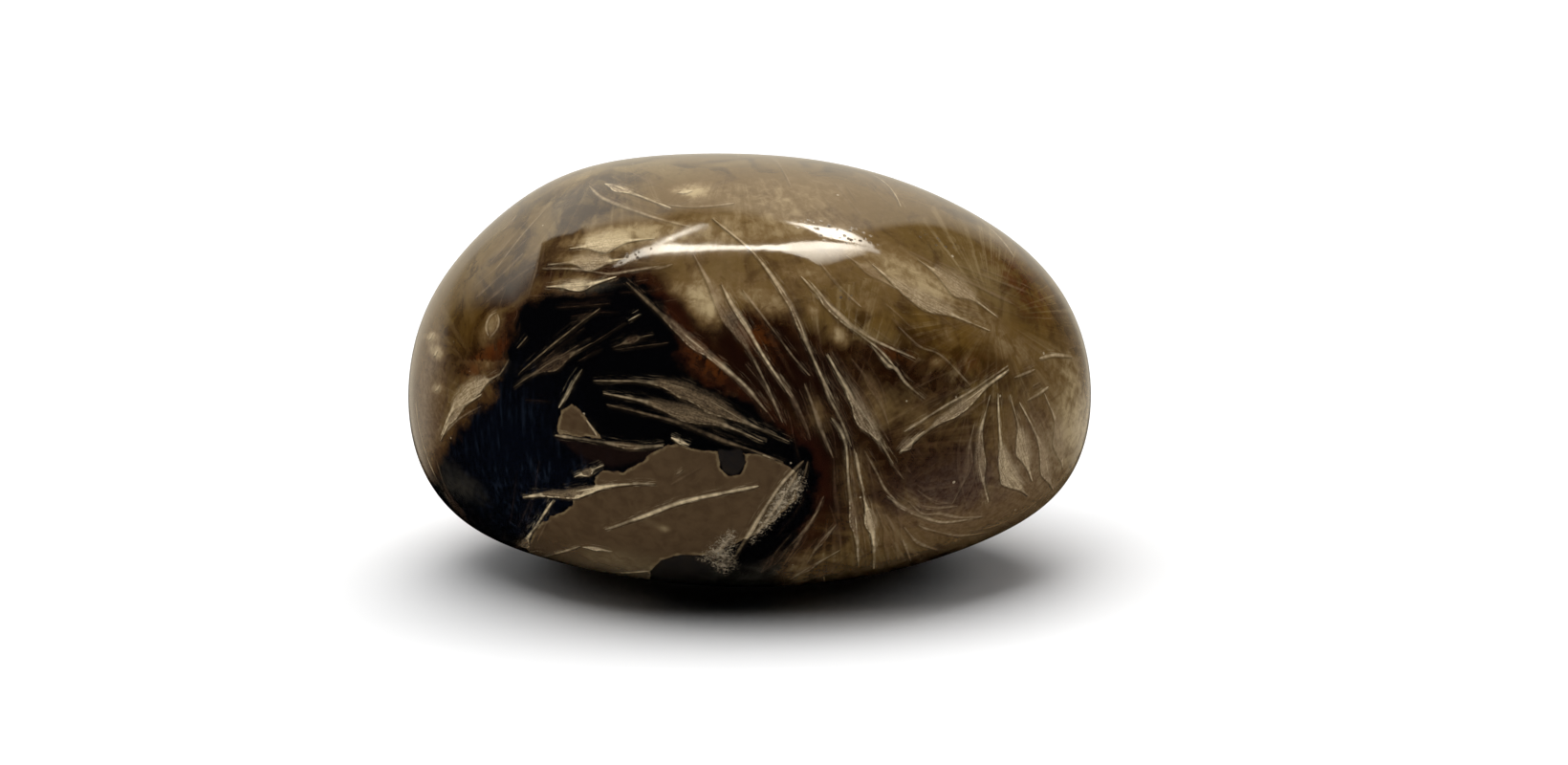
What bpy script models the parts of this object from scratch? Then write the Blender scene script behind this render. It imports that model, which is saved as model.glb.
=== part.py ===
"""A polished tumbled stone: one worn pebble that rests on a small flat spot.

The stone was a broken lump whose faces wore down in the tumbler. Each face that is still felt as a
flatter area is listed with the way it looks and its distance from the middle of the stone, and one
formula rounds them all into each other. +X runs to the right end, +Y to the back and +Z up. The
origin is on the surface that the stone rests on, under the middle of its box.
"""

import math

import bmesh
import bpy
from mathutils import Vector

MM = 0.001

# Each worn face: name, compass angle from +X towards +Y, angle above level, distance in mm.
WORN_FACES = (
    ("right end", 0, 0, 27.9),
    ("right shoulder", 10, 36, 24.2),
    ("upper right", 30, 62, 17.9),
    ("crown", 97, 77, 16.0),
    ("upper left", 158, 52, 20.2),
    ("left shoulder", 172, 28, 24.7),
    ("left end", 180, -2, 26.0),
    ("lower left", -170, -30, 31.9),
    ("left underside", -163, -50, 27.3),
    ("belly left", -125, -73, 16.7),
    ("belly right", -38, -64, 18.5),
    ("lower right", -8, -28, 29.9),
    ("front", -78, 2, 19.9),
    ("front crown", -72, 64, 17.7),
    ("front brow", -100, 34, 19.0),
    ("front left brow", -150, 42, 22.0),
    ("front left", -146, 8, 24.3),
    ("front cheek", -112, -4, 20.8),
    ("front right", -44, -12, 23.1),
    ("front right brow", -40, 32, 22.2),
    ("front underside", -84, -38, 18.0),
    ("front left underside", -134, -34, 21.7),
    ("back", 100, -6, 19.9),
    ("back cheek", 68, 0, 20.5),
    ("back brow", 78, 38, 18.6),
    ("back left brow", 128, 34, 21.1),
    ("back left", 144, -6, 23.9),
    ("back right", 36, 4, 24.7),
    ("back underside", 104, -42, 19.2),
    ("back left underside", 147, -42, 21.8),
    ("back right underside", 48, -36, 20.9),
    ("base", 80, -84, 15.4),
)
# How sharply the faces meet: 2 would round them into a ball, and 40 would leave crisp edges.
EDGE_SHARPNESS = 10
# The flat spot is what a slice this thick takes off the lowest point.
FLAT_SPOT_SLICE = 0.1 * MM
# Points this close to the cut count as lying on it, which leaves no slivers along the rim.
SNAP_DISTANCE = 0.01 * MM
# Rough half sizes along X, Y and Z, which only spread the mesh's points evenly over the stone.
HALF_SIZE = Vector((25.0, 19.5, 16.0)) * MM
# Squares along each side of the cube that the pebble is grown from.
SQUARES_PER_SIDE = 24

CHERT_BROWN = (0.105, 0.074, 0.042)
POLISH_ROUGHNESS = 0.06


def clear_scene():
    for old in list(bpy.data.objects):
        bpy.data.objects.remove(old, do_unlink=True)


def face_direction(compass_deg, above_deg):
    """The unit vector that a worn face looks along."""
    compass, above = math.radians(compass_deg), math.radians(above_deg)
    return Vector((
        math.cos(compass) * math.cos(above),
        math.sin(compass) * math.cos(above),
        math.sin(above),
    ))


def worn_radius(direction, faces):
    """Distance from the middle to the surface along a unit direction, in metres."""
    total = 0.0
    for looks_along, distance in faces:
        reach = direction.dot(looks_along) / distance
        if reach > 0:
            total += reach ** EDGE_SHARPNESS
    return total ** (-1 / EDGE_SHARPNESS)


def evenly_spread(cube_point):
    """Turns a point on the cube from -1 to 1 into a unit direction, with even squares."""
    bent = Vector(math.tan(side * math.pi / 4) for side in cube_point)
    return Vector(side * half for side, half in zip(bent.normalized(), HALF_SIZE)).normalized()


def cut_flat_spot(pebble):
    """Slices the lowest point off and closes the cut with one flat face."""
    level = min(point.co.z for point in pebble.verts) + FLAT_SPOT_SLICE
    cut = bmesh.ops.bisect_plane(
        pebble,
        geom=pebble.verts[:] + pebble.edges[:] + pebble.faces[:],
        dist=SNAP_DISTANCE,
        plane_co=(0, 0, level),
        plane_no=(0, 0, -1),
        clear_outer=True,
    )
    rim = [part for part in cut["geom_cut"] if isinstance(part, bmesh.types.BMEdge)]
    for edge in rim:
        for point in edge.verts:
            point.co.z = level
    bmesh.ops.contextual_create(pebble, geom=rim)


def stand_on_origin(pebble):
    """Moves the pebble so that the middle of its box's underside is the origin."""
    corners = [
        (min(point.co[axis] for point in pebble.verts), max(point.co[axis] for point in pebble.verts))
        for axis in range(3)
    ]
    middle_x, middle_y = (sum(corners[axis]) / 2 for axis in (0, 1))
    bmesh.ops.translate(pebble, vec=(-middle_x, -middle_y, -corners[2][0]), verts=pebble.verts)


def polished_chert():
    material = bpy.data.materials.new("polished_chert")
    material.use_nodes = True
    shader = material.node_tree.nodes["Principled BSDF"]
    shader.inputs["Base Color"].default_value = (*CHERT_BROWN, 1.0)
    shader.inputs["Roughness"].default_value = POLISH_ROUGHNESS
    shader.inputs["Metallic"].default_value = 0.0
    return material


def make_stone():
    faces = [
        (face_direction(compass, above), distance * MM)
        for _, compass, above, distance in WORN_FACES
    ]
    pebble = bmesh.new()
    bmesh.ops.create_cube(pebble, size=2)
    bmesh.ops.subdivide_edges(
        pebble, edges=pebble.edges[:], cuts=SQUARES_PER_SIDE - 1, use_grid_fill=True
    )
    for point in pebble.verts:
        direction = evenly_spread(point.co)
        point.co = direction * worn_radius(direction, faces)
    cut_flat_spot(pebble)
    stand_on_origin(pebble)
    bmesh.ops.recalc_face_normals(pebble, faces=pebble.faces[:])
    mesh = bpy.data.meshes.new("stone")
    pebble.to_mesh(mesh)
    pebble.free()
    mesh.materials.append(polished_chert())
    mesh.shade_smooth()
    stone = bpy.data.objects.new("stone", mesh)
    bpy.context.scene.collection.objects.link(stone)
    return stone


clear_scene()
make_stone()
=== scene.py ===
"""The looks of the tumbled stone: its pattern, its polish and the stage that it lies on.

The pebble is grown again from the same worn faces as the solid, with enough points for a smooth
polish. Its pattern is drawn on the surface itself. The blades, masses and clouds that the photograph
shows are listed in its pixels and laid onto the stone through the camera. The sides that it
doesn't show get marks of the same kinds, placed by compass angle and height, from a fixed seed.
"""

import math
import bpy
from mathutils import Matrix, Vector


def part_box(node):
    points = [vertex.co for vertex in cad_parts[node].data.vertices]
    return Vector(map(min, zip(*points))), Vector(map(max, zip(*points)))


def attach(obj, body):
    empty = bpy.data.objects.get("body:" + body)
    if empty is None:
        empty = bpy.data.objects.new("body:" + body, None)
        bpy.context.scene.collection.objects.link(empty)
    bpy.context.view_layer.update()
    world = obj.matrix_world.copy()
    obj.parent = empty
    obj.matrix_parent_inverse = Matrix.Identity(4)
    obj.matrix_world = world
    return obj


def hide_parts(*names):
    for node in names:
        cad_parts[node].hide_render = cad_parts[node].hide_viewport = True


bl_info = {
    "name": "Tumbled Stone",
    "version": (1, 0, 0),
    "blender": (4, 5, 0),
    "location": "View3D > Sidebar > Tumbled Stone",
    "description": "Dresses the packed tumbled stone with its pattern, its polish and a stage",
    "category": "Object",
}

from typing import NamedTuple

import bmesh
import bpy
import numpy as np
from bpy.props import FloatProperty, FloatVectorProperty, IntProperty, PointerProperty
from mathutils import Matrix, Vector
from mathutils.bvhtree import BVHTree

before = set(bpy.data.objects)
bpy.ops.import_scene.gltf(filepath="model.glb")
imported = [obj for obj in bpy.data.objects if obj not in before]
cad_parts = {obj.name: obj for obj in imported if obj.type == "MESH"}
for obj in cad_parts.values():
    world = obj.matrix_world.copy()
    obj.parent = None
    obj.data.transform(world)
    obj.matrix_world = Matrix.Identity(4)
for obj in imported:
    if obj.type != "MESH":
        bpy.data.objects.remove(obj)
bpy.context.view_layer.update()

MM = 0.001

# The photograph: its size, the stone's ends and middle in it, and how the camera stood.
PHOTO_WIDTH, PHOTO_HEIGHT = 1640, 800
STONE_LEFT, STONE_RIGHT = 428, 1140
STONE_MIDDLE = np.array((784.0, 386.0))
CAMERA_ELEVATION = math.radians(15)
CAMERA_DISTANCE = 0.35
SENSOR_WIDTH = 36.0

# The worn faces of the solid: name, compass angle from +X towards +Y, angle above level, mm away.
WORN_FACES = (
    ("right end", 0, 0, 27.9),
    ("right shoulder", 10, 36, 24.2),
    ("upper right", 30, 62, 17.9),
    ("crown", 97, 77, 16.0),
    ("upper left", 158, 52, 20.2),
    ("left shoulder", 172, 28, 24.7),
    ("left end", 180, -2, 26.0),
    ("lower left", -170, -30, 31.9),
    ("left underside", -163, -50, 27.3),
    ("belly left", -125, -73, 16.7),
    ("belly right", -38, -64, 18.5),
    ("lower right", -8, -28, 29.9),
    ("front", -78, 2, 19.9),
    ("front crown", -72, 64, 17.7),
    ("front brow", -100, 34, 19.0),
    ("front left brow", -150, 42, 22.0),
    ("front left", -146, 8, 24.3),
    ("front cheek", -112, -4, 20.8),
    ("front right", -44, -12, 23.1),
    ("front right brow", -40, 32, 22.2),
    ("front underside", -84, -38, 18.0),
    ("front left underside", -134, -34, 21.7),
    ("back", 100, -6, 19.9),
    ("back cheek", 68, 0, 20.5),
    ("back brow", 78, 38, 18.6),
    ("back left brow", 128, 34, 21.1),
    ("back left", 144, -6, 23.9),
    ("back right", 36, 4, 24.7),
    ("back underside", 104, -42, 19.2),
    ("back left underside", 147, -42, 21.8),
    ("back right underside", 48, -36, 20.9),
    ("base", 80, -84, 15.4),
)
EDGE_SHARPNESS = 10
# The flat spot is what a slice this thick takes off the lowest point.
FLAT_SPOT_SLICE = 0.1 * MM
# Rough half sizes in mm, which only spread the squares evenly.
HALF_SIZE = np.array((25.0, 19.5, 16.0))
FIT_TOLERANCE = 0.15 * MM


class Blade(NamedTuple):
    """One pale blade: its route, and how it swells, in pixels of the photograph."""

    route: tuple
    swell: float = 0.0
    at: float = 0.5
    tone: float = 0.75
    line: float = 0.95
    soft: float = 0.5


def thin(route, tone, line=0.95, soft=0.5):
    """A blade that is a plain line all along."""
    return Blade(route, 0.0, 0.5, tone, line, soft)


# Blades that fan down from the crown to the dark heart of the front.
CROWN_FAN = {
    "longest": Blade(((745, 228), (787, 263), (816, 301), (832, 329), (851, 376), (878, 430)), 3, 0.55, 0.75),
    "brown body": Blade(
        ((725, 265), (741, 294), (755, 322), (776, 354), (801, 401), (819, 443)), 6, 0.4, 0.6, 1.0, 3,
    ),
    "sharp": Blade(((754, 296), (768, 322), (780, 340), (801, 376), (828, 416)), 2.5, 0.3, 0.9, 1.1, 1),
    "thin middle": thin(((776, 302), (805, 340), (832, 376), (848, 394)), 0.55, 1.0),
    "pale right": Blade(((837, 288), (859, 311), (885, 338), (919, 365), (938, 386)), 4, 0.35, 0.8),
    "far right": Blade(((848, 295), (876, 327), (912, 354), (960, 376)), 2, 0.4, 0.7),
    "from the pits": thin(((857, 274), (880, 301), (902, 322)), 0.55, 1.0),
    "over the black": Blade(
        ((654, 294), (680, 318), (716, 351), (751, 379), (780, 404), (803, 432)), 4.5, 0.45, 0.8, 1.4, 1,
    ),
    "short twin": Blade(((864, 370), (885, 404), (901, 430)), 2, 0.5, 0.7, 1.0),
    "bent": thin(((910, 360), (930, 383), (937, 385), (946, 399), (968, 418)), 0.7, 1.2),
    "faint left": thin(((770, 336), (790, 366), (806, 388), (822, 412)), 0.35, 0.9),
    "faint right": thin(((938, 340), (962, 362), (985, 372), (1016, 404)), 0.5, 1.0),
}
# Blades that sweep over the black mass to the right, above the flat patch.
MIDDLE_SWEEP = {
    "upper lens": Blade(
        ((620, 398), (671, 399), (703, 404), (734, 417), (775, 439), (828, 463)), 10, 0.52, 1.12, 0.8, 1.5,
    ),
    "middle lens": Blade(((630, 411), (671, 419), (713, 431), (754, 443), (801, 463)), 9, 0.5, 1.12, 0.8, 2),
    "lower edge": Blade(
        ((634, 423), (673, 432), (713, 443), (754, 460), (781, 469), (822, 484)), 2.5, 0.5, 0.75,
    ),
    "first arc": Blade(((748, 380), (775, 402), (801, 429), (811, 443)), 1.5, 0.4, 0.4, 0.9, 1),
    "second arc": Blade(((779, 380), (797, 402), (813, 427), (823, 445)), 1.5, 0.5, 0.4, 0.8, 1),
    "third arc": Blade(((803, 380), (824, 407), (842, 441), (848, 462)), 1.5, 0.5, 0.4, 0.8, 1),
    "fourth arc": Blade(((841, 400), (852, 427), (860, 451), (872, 480)), 2, 0.5, 0.5, 1.0),
    "bright seam": Blade(((579, 455), (622, 461), (662, 467), (695, 466)), 3, 0.7, 1.15, 1.4),
    "seam end": Blade(((701, 457), (712, 462), (722, 466)), 3, 0.5, 1.5, 1.5),
    "beaded": thin(((609, 386), (601, 398), (592, 414), (584, 427)), 1.3, 1.3),
    "triangle edge": thin(((613, 439), (620, 448), (625, 457)), 0.8, 1.2),
    "small leaf": Blade(((600, 499), (616, 493), (631, 486)), 6, 0.45, 1.5),
}
# Blades on the flat patch and round its rim.
PATCH_BLADES = {
    "spear": Blade(
        ((546, 520), (570, 517), (597, 516), (632, 509), (662, 506), (687, 506)), 7, 0.38, 1.5, 1.2,
    ),
    "long curve": Blade(((632, 554), (673, 540), (713, 525), (754, 516), (795, 508)), 2.2, 0.45, 1.1, 1.8),
    "edge spear": Blade(((579, 522), (566, 542), (556, 556), (546, 572)), 7, 0.92, 1.35, 1.1),
    "dim": thin(((555, 523), (548, 538), (542, 552)), 0.3, 1.0),
    "low line": thin(((569, 582), (588, 577), (607, 571)), 0.75, 1.3),
    "low bar": Blade(((609, 572), (625, 574), (640, 577)), 4.5, 0.4, 1.2, 2.0),
    "bright grain": Blade(((706, 497), (715, 490)), 3, 0.5, 0.65),
    "faint line": thin(((701, 507), (718, 497), (734, 488)), 0.35, 1.2),
    "wedge edge": Blade(((841, 481), (815, 509), (785, 556), (765, 588)), 2, 0.6, 0.85, 1.6),
    "wedge": Blade(((836, 490), (828, 504), (812, 530), (790, 560)), 1.5, 0.4, 0.6, 1.2, 1),
    "wedge right": thin(((845, 482), (841, 498), (834, 513)), 0.7, 1.2),
    "feather": Blade(((768, 556), (757, 570), (744, 588)), 2, 0.5, 0.5, 1.2, 1),
    "under the wedge": Blade(((858, 531), (838, 558), (812, 585), (797, 599)), 5, 0.75, 0.5, 1.2, 2),
    "beside it": Blade(((828, 558), (812, 577), (795, 600)), 4, 0.7, 0.5, 1.2, 2),
    "patch rim": thin(((597, 592), (621, 596), (650, 599), (681, 597)), 1.0, 1.6),
}
# Blades of the dense bundle right of the middle, which opens downwards like a brush.
BRUSH = {
    "first": Blade(((844, 360), (859, 394), (868, 417), (880, 440), (891, 468)), 1, 0.5, 0.61, 1.1),
    "lens": Blade(
        ((865, 369), (880, 397), (893, 420), (911, 447), (923, 466), (935, 486)), 8, 0.55, 0.95, 1.1, 1.5,
    ),
    "lens slit": Blade(((884, 392), (896, 410), (908, 436), (914, 452)), 4, 0.5, 0.5, 0.9, 1),
    "twin": thin(((868, 370), (886, 398), (902, 424), (918, 452)), 0.47, 1.0),
    "outer": Blade(((889, 373), (903, 391), (919, 415), (930, 445)), 5, 0.5, 0.38, 1.0, 2),
    "headed": Blade(((869, 436), (880, 452), (885, 468), (887, 492)), 2, 0.1, 0.79, 1.4),
    "inner dark": thin(((841, 401), (850, 424), (856, 445), (866, 472)), 0.47, 1.0),
    "left dark": Blade(((820, 402), (834, 429), (848, 458)), 2, 0.5, 0.33, 1.0),
    "long stem": Blade(((885, 465), (888, 508), (891, 527), (896, 559), (898, 592)), 5, 0.5, 0.75),
    "thin stem": thin(((893, 468), (898, 495), (905, 515)), 0.65, 1.0),
    "bulb stem": Blade(((895, 472), (903, 515), (909, 545), (914, 564), (914, 595)), 2, 0.6, 0.78, 1.1),
    "bulb": Blade(((903, 520), (907, 532), (911, 546), (913, 560), (914, 572)), 9, 0.45, 1.04, 1.1, 1.5),
    "right stem": thin(((904, 470), (917, 494), (926, 512), (938, 524)), 0.56, 1.0),
    "second stem": thin(((926, 470), (934, 486), (946, 502)), 0.42, 1.0),
    "upper sweep": Blade(((927, 518), (947, 532), (973, 543), (992, 546), (1030, 540)), 3, 0.3, 0.65, 1.3),
    "sweep above": Blade(((937, 517), (955, 526), (976, 531), (1003, 529)), 3, 0.5, 0.47, 1.2),
    "lower sweep": Blade(((960, 549), (973, 554), (1004, 560), (1036, 556)), 2, 0.5, 0.56, 1.2),
    "under sweep": Blade(((945, 550), (960, 567), (983, 576)), 2, 0.5, 0.56, 1.2),
    "short drop": thin(((944, 564), (949, 576), (953, 587)), 0.56, 1.2),
    "fringe one": Blade(((916, 530), (925, 552), (928, 575), (930, 592)), 3, 0.5, 0.38, 1.0, 1),
    "fringe two": Blade(((924, 532), (936, 556), (940, 588)), 2, 0.5, 0.38, 1.0, 1),
    "left sweep": Blade(((879, 575), (858, 587), (826, 606)), 4, 0.6, 0.65, 1.3),
    "left second": Blade(((875, 548), (862, 563), (852, 576), (843, 591)), 3, 0.4, 0.52, 1.2, 1),
    "left third": Blade(((862, 518), (850, 543), (835, 566), (820, 591)), 2, 0.6, 0.47, 1.2),
}
# The double blade on the right and the hanging feathers under it.
RIGHT_BLADES = {
    "double lower": Blade(
        ((1056, 386), (1030, 405), (1009, 422), (975, 446), (941, 473)), 7.5, 0.5, 0.95, 1.3, 1,
    ),
    "double upper": thin(((1055, 382), (1014, 410), (989, 424), (945, 452)), 0.7, 1.1),
    "double foot": Blade(((968, 450), (952, 462), (940, 474)), 9, 0.7, 0.8, 1.2, 1.5),
    "chip": thin(((1060, 395), (1071, 391), (1083, 386)), 0.65, 1.4),
    "high arc": thin(((1086, 375), (1104, 371), (1122, 373)), 0.75, 1.5),
    "bright bar": thin(((1074, 419), (1086, 412), (1097, 404)), 0.75, 1.6),
    "small bar": thin(((1079, 404), (1089, 399)), 0.6, 1.2),
    "feather one": Blade(
        ((1036, 412), (1031, 430), (1025, 456), (1027, 495), (1034, 526)), 7, 0.5, 0.8, 1.0, 2,
    ),
    "feather two": Blade(
        ((1044, 410), (1045, 440), (1049, 479), (1058, 500), (1076, 519)), 11, 0.6, 1.0, 1.0, 3,
    ),
    "feather three": Blade(((1056, 412), (1064, 440), (1070, 470), (1080, 504)), 9, 0.55, 0.95, 1.0, 3),
    "feather four": Blade(
        ((1066, 420), (1080, 446), (1090, 470), (1096, 498), (1102, 512)), 8, 0.6, 0.85, 1.0, 2,
    ),
    "feather five": Blade(((1020, 440), (1014, 466), (1011, 495), (996, 527)), 5, 0.5, 0.5, 1.0, 2),
    "feather six": Blade(((1092, 410), (1106, 446), (1112, 490)), 13, 0.6, 0.7, 0.9, 4),
    "bottom curve": Blade(((950, 524), (965, 537), (983, 537), (1003, 541), (1028, 540)), 2, 0.5, 0.55, 1.2),
    "rim curve": Blade(((1010, 556), (1040, 550), (1066, 538), (1090, 520)), 2, 0.5, 0.45, 1.4, 1),
}
# Splinters inside the black mass and along its edge.
BLACK_SPLINTERS = {
    "ray one": thin(((628, 322), (600, 343), (570, 367), (541, 392)), 0.8, 0.75),
    "ray one root": Blade(((620, 326), (607, 334), (596, 338)), 4, 0.5, 0.5, 0.6, 1),
    "ray one shadow": thin(((612, 342), (588, 360), (566, 378)), 0.4, 0.6),
    "ray two tip": thin(((670, 328), (656, 336)), 1.4, 1.1),
    "ray two link": thin(((656, 336), (640, 346), (618, 360)), 0.5, 0.6),
    "ray two": Blade(((620, 358), (598, 370), (574, 382), (550, 396), (536, 406)), 7, 0.45, 0.8, 0.7, 1),
    "ray two edge": thin(((606, 360), (580, 376), (556, 392)), 0.6, 0.6),
    "ray three": Blade(((684, 349), (662, 355), (640, 364)), 4, 0.5, 0.8, 0.7, 1),
    "ray four": thin(((700, 358), (670, 362), (642, 366)), 0.5, 0.6),
    "ray five": thin(((630, 364), (618, 370), (604, 378)), 0.4, 0.6),
    "short splinter": thin(((552, 351), (546, 358), (540, 365)), 0.8, 0.8),
    "edge splinter": thin(((533, 375), (527, 385), (519, 397)), 0.6, 0.8),
    "ceiling line": thin(((581, 322), (606, 320), (640, 317)), 0.35, 0.6),
    "ceiling second": thin(((596, 331), (622, 327), (650, 326)), 0.25, 0.6),
    "pale lens": Blade(((461, 456), (472, 430), (488, 411), (504, 401), (524, 391)), 11, 0.6, 0.95, 1.0, 3),
    "pale lens low": Blade(((460, 462), (470, 441), (484, 425), (504, 412)), 5, 0.5, 0.9, 0.9, 2),
    "left edge": thin(((462, 456), (480, 438), (504, 424)), 0.5, 0.9),
    "blue line": thin(((548, 418), (562, 419), (578, 420)), 0.25, 0.7),
    "blue upright": thin(((548, 560), (558, 520), (564, 480)), 0.25, 0.6),
    "blue upright two": thin(((533, 550), (538, 516), (540, 492)), 0.2, 0.6),
    "blue upright three": thin(((562, 566), (572, 546), (580, 532)), 0.35, 0.6),
}
# Blades near the top and the two shoulders, which show through the reflection there.
SHOULDER_BLADES = {
    "top line": Blade(((616, 194), (626, 204), (639, 211), (684, 227), (722, 237)), 2, 0.4, 0.6, 1.2),
    "top lens": Blade(((632, 192), (646, 196), (672, 206), (703, 218)), 6, 0.22, 1.0, 1.2, 1),
    "top bow": thin(((697, 214), (720, 216), (745, 215), (770, 212)), 0.55, 1.2),
    "second grain": Blade(((706, 202), (726, 199)), 4.5, 0.5, 0.9, 1.2, 1),
    "top dark": thin(((745, 228), (764, 243), (775, 252)), 0.6, 1.1),
    "left streak one": Blade(((572, 217), (545, 247), (518, 282)), 1, 0.5, 0.5, 1.2),
    "left streak two": thin(((556, 226), (534, 250), (512, 276)), 0.35, 1.4),
    "left streak three": thin(((548, 264), (530, 282), (497, 312)), 0.4, 1.6),
    "left streak four": Blade(((561, 276), (540, 290), (508, 316)), 2, 0.5, 0.35, 2.0),
    "left seam": thin(((566, 253), (562, 277), (552, 312)), 0.4, 1.2),
    "upper ribbon": Blade(((594, 260), (622, 256), (650, 252), (686, 249)), 10, 0.45, 1.2, 1.0, 6),
    "lower ribbon": Blade(((572, 277), (600, 274), (626, 274), (656, 270)), 8, 0.55, 0.9, 1.0, 4),
    "white ribbon": Blade(((570, 300), (590, 299), (612, 298), (646, 289)), 7, 0.45, 1.45, 1.0, 1.5),
    "ribbon edge": Blade(((566, 281), (600, 281), (628, 285), (642, 286), (690, 278)), 1, 0.6, 0.6, 1.0),
    "ribbon low": thin(((655, 283), (690, 280), (704, 276)), 0.5, 1.6),
    "right streak one": Blade(((912, 276), (945, 302), (990, 326), (1036, 346)), 11, 0.4, 0.85, 0.9, 5),
    "right streak two": Blade(((958, 270), (988, 290), (1018, 312), (1044, 332)), 12, 0.45, 0.8, 0.9, 6),
    "right streak three": Blade(((884, 266), (910, 284), (938, 302)), 5, 0.5, 0.55, 1.0, 4),
    "right streak four": Blade(((950, 262), (985, 280), (1025, 300), (1060, 318)), 2, 0.5, 0.35, 1.5, 1),
    "right streak five": Blade(((1000, 276), (1040, 292), (1075, 306), (1092, 316)), 1, 0.5, 0.35, 1.5, 1),
    "right hair": thin(((925, 316), (945, 334), (952, 342)), 0.4, 0.9),
    "rim spot high": Blade(((448, 356), (454, 347)), 4, 0.5, 0.8, 1.5, 1.5),
    "rim spot middle": Blade(((453, 373), (458, 366)), 4.5, 0.5, 0.9, 1.5, 1.5),
    "rim spot low": Blade(((455, 409), (460, 403)), 3, 0.5, 0.7, 1.5, 1.5),
    "ring left": thin(((511, 352), (508, 342), (512, 331), (520, 326)), 0.6, 1.2),
    "ring right": thin(((512, 353), (519, 345), (522, 336), (520, 327)), 0.6, 1.2),
    "rim patch": Blade(((524, 242), (533, 234), (541, 224)), 5, 0.5, 0.5, 1.5, 3),
    "top right hair": thin(((873, 190), (886, 206), (902, 226)), 0.3, 1.3),
    "top right hair two": thin(((920, 188), (936, 206), (950, 216)), 0.25, 1.4),
}
FRONT_BLADES = (
    CROWN_FAN, MIDDLE_SWEEP, PATCH_BLADES, BRUSH, RIGHT_BLADES, BLACK_SPLINTERS, SHOULDER_BLADES,
)
FEATHERED_FAMILIES = (BRUSH, RIGHT_BLADES, SHOULDER_BLADES)
# Fainter blades run beside these: one close to each, and hairs farther off. How far, in pixels, and
# how pale.
COMPANION_SHIFT, COMPANION_TONES = (3.0, 11.0), (0.12, 0.4)
HAIR_COUNT = 140
HAIR_SHIFT, HAIR_TONES = (8.0, 36.0), (0.08, 0.3)


class Cloud(NamedTuple):
    """A soft patch: its middle and half sizes in pixels of the photograph, its turn and its strength."""

    x: float
    y: float
    half_long: float
    half_short: float
    turn: float
    amount: float


# Milky clouds inside the stone. Some are painted light: painted sheen on top, round the highlight and under
# its lobe, a painted reflection on the left rim, and painted light along the bottom and low on the patch.
HAZE_AND_PAINTED_LIGHT = {
    "white cloud under the left highlight": Cloud(606, 298, 38, 9, -4, 1.1),
    "ribbon above it": Cloud(645, 247, 42, 10, -8, 0.9),
    "ribbon below it": Cloud(610, 272, 45, 6, 2, 0.4),
    "heart cloud": Cloud(738, 318, 26, 16, 60, 1.0),
    "heart cloud's neighbour": Cloud(705, 302, 20, 12, 20, 0.3),
    "ring on the left": Cloud(515, 342, 20, 11, -62, 0.65),
    "left cheek": Cloud(478, 290, 50, 20, -48, 0.12),
    # painted reflection along the left rim
    "left rim": Cloud(442, 405, 90, 18, -86, 0.35),
    "left rim dot high": Cloud(451, 352, 7, 5, 0, 1.0),
    "left rim dot middle": Cloud(457, 368, 8, 6, 60, 1.2),
    "left rim dot low": Cloud(458, 406, 6, 5, 0, 1.0),
    # painted glow under the highlight's lobe
    "painted glow under the lobe": Cloud(842, 284, 34, 12, 8, 0.45),
    "above the heart": Cloud(800, 318, 34, 13, 22, 0.4),
    "grain right of the heart": Cloud(878, 351, 13, 9, 40, 0.8),
    "small grain": Cloud(851, 324, 8, 7, 0, 0.5),
    "near the far right blade": Cloud(905, 318, 26, 9, 15, 0.4),
    "pale streaks on the right": Cloud(990, 312, 70, 18, 30, 0.28),
    "right shoulder": Cloud(1000, 230, 80, 20, 25, 0.15),
    "right cheek": Cloud(1060, 365, 50, 20, 30, 0.4),
    "right end": Cloud(1128, 440, 90, 26, 84, 0.7),
    "under the double blade": Cloud(1072, 465, 64, 44, 80, 0.45),
    "beyond the bundle": Cloud(965, 435, 46, 34, 30, 0.34),
    "right low": Cloud(1098, 478, 44, 24, -60, 0.32),
    "brush foot": Cloud(930, 560, 56, 34, -10, 0.3),
    "brush foot right": Cloud(1010, 545, 60, 24, -8, 0.35),
    "brush middle": Cloud(895, 500, 26, 44, 0, 0.3),
    "lower feathers": Cloud(822, 588, 40, 14, -20, 0.4),
    "left rim low": Cloud(462, 490, 60, 16, 76, 0.3),
    "blue-black foot": Cloud(490, 510, 30, 14, 40, 0.5),
    "in the bundle": Cloud(855, 432, 26, 12, 75, 0.35),
    "beside the bundle": Cloud(915, 420, 30, 12, 62, 0.4),
    # painted sheen over the top and round the highlight
    "top": Cloud(800, 200, 150, 24, 0, 0.5),
    "painted sheen round the highlight": Cloud(740, 246, 150, 24, -4, 0.62),
    "under the highlight": Cloud(785, 300, 80, 20, 8, 0.4),
    "right of the highlight": Cloud(940, 285, 90, 26, 24, 0.62),
    # painted light along the bottom
    "bottom": Cloud(760, 600, 200, 14, 0, 0.4),
    "top grain": Cloud(722, 200, 16, 6, 0, 0.7),
    "grain by the right edge": Cloud(980, 378, 9, 7, 0, 0.45),
    "pale fleck": Cloud(992, 352, 12, 7, 50, 0.45),
    "patch smudge": Cloud(681, 547, 15, 5, 20, 0.4),
    "patch dot": Cloud(695, 553, 6, 4, 0, 0.6),
    # painted light low on the patch
    "painted light low on the patch": Cloud(640, 584, 60, 16, 5, 0.4),
}
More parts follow.
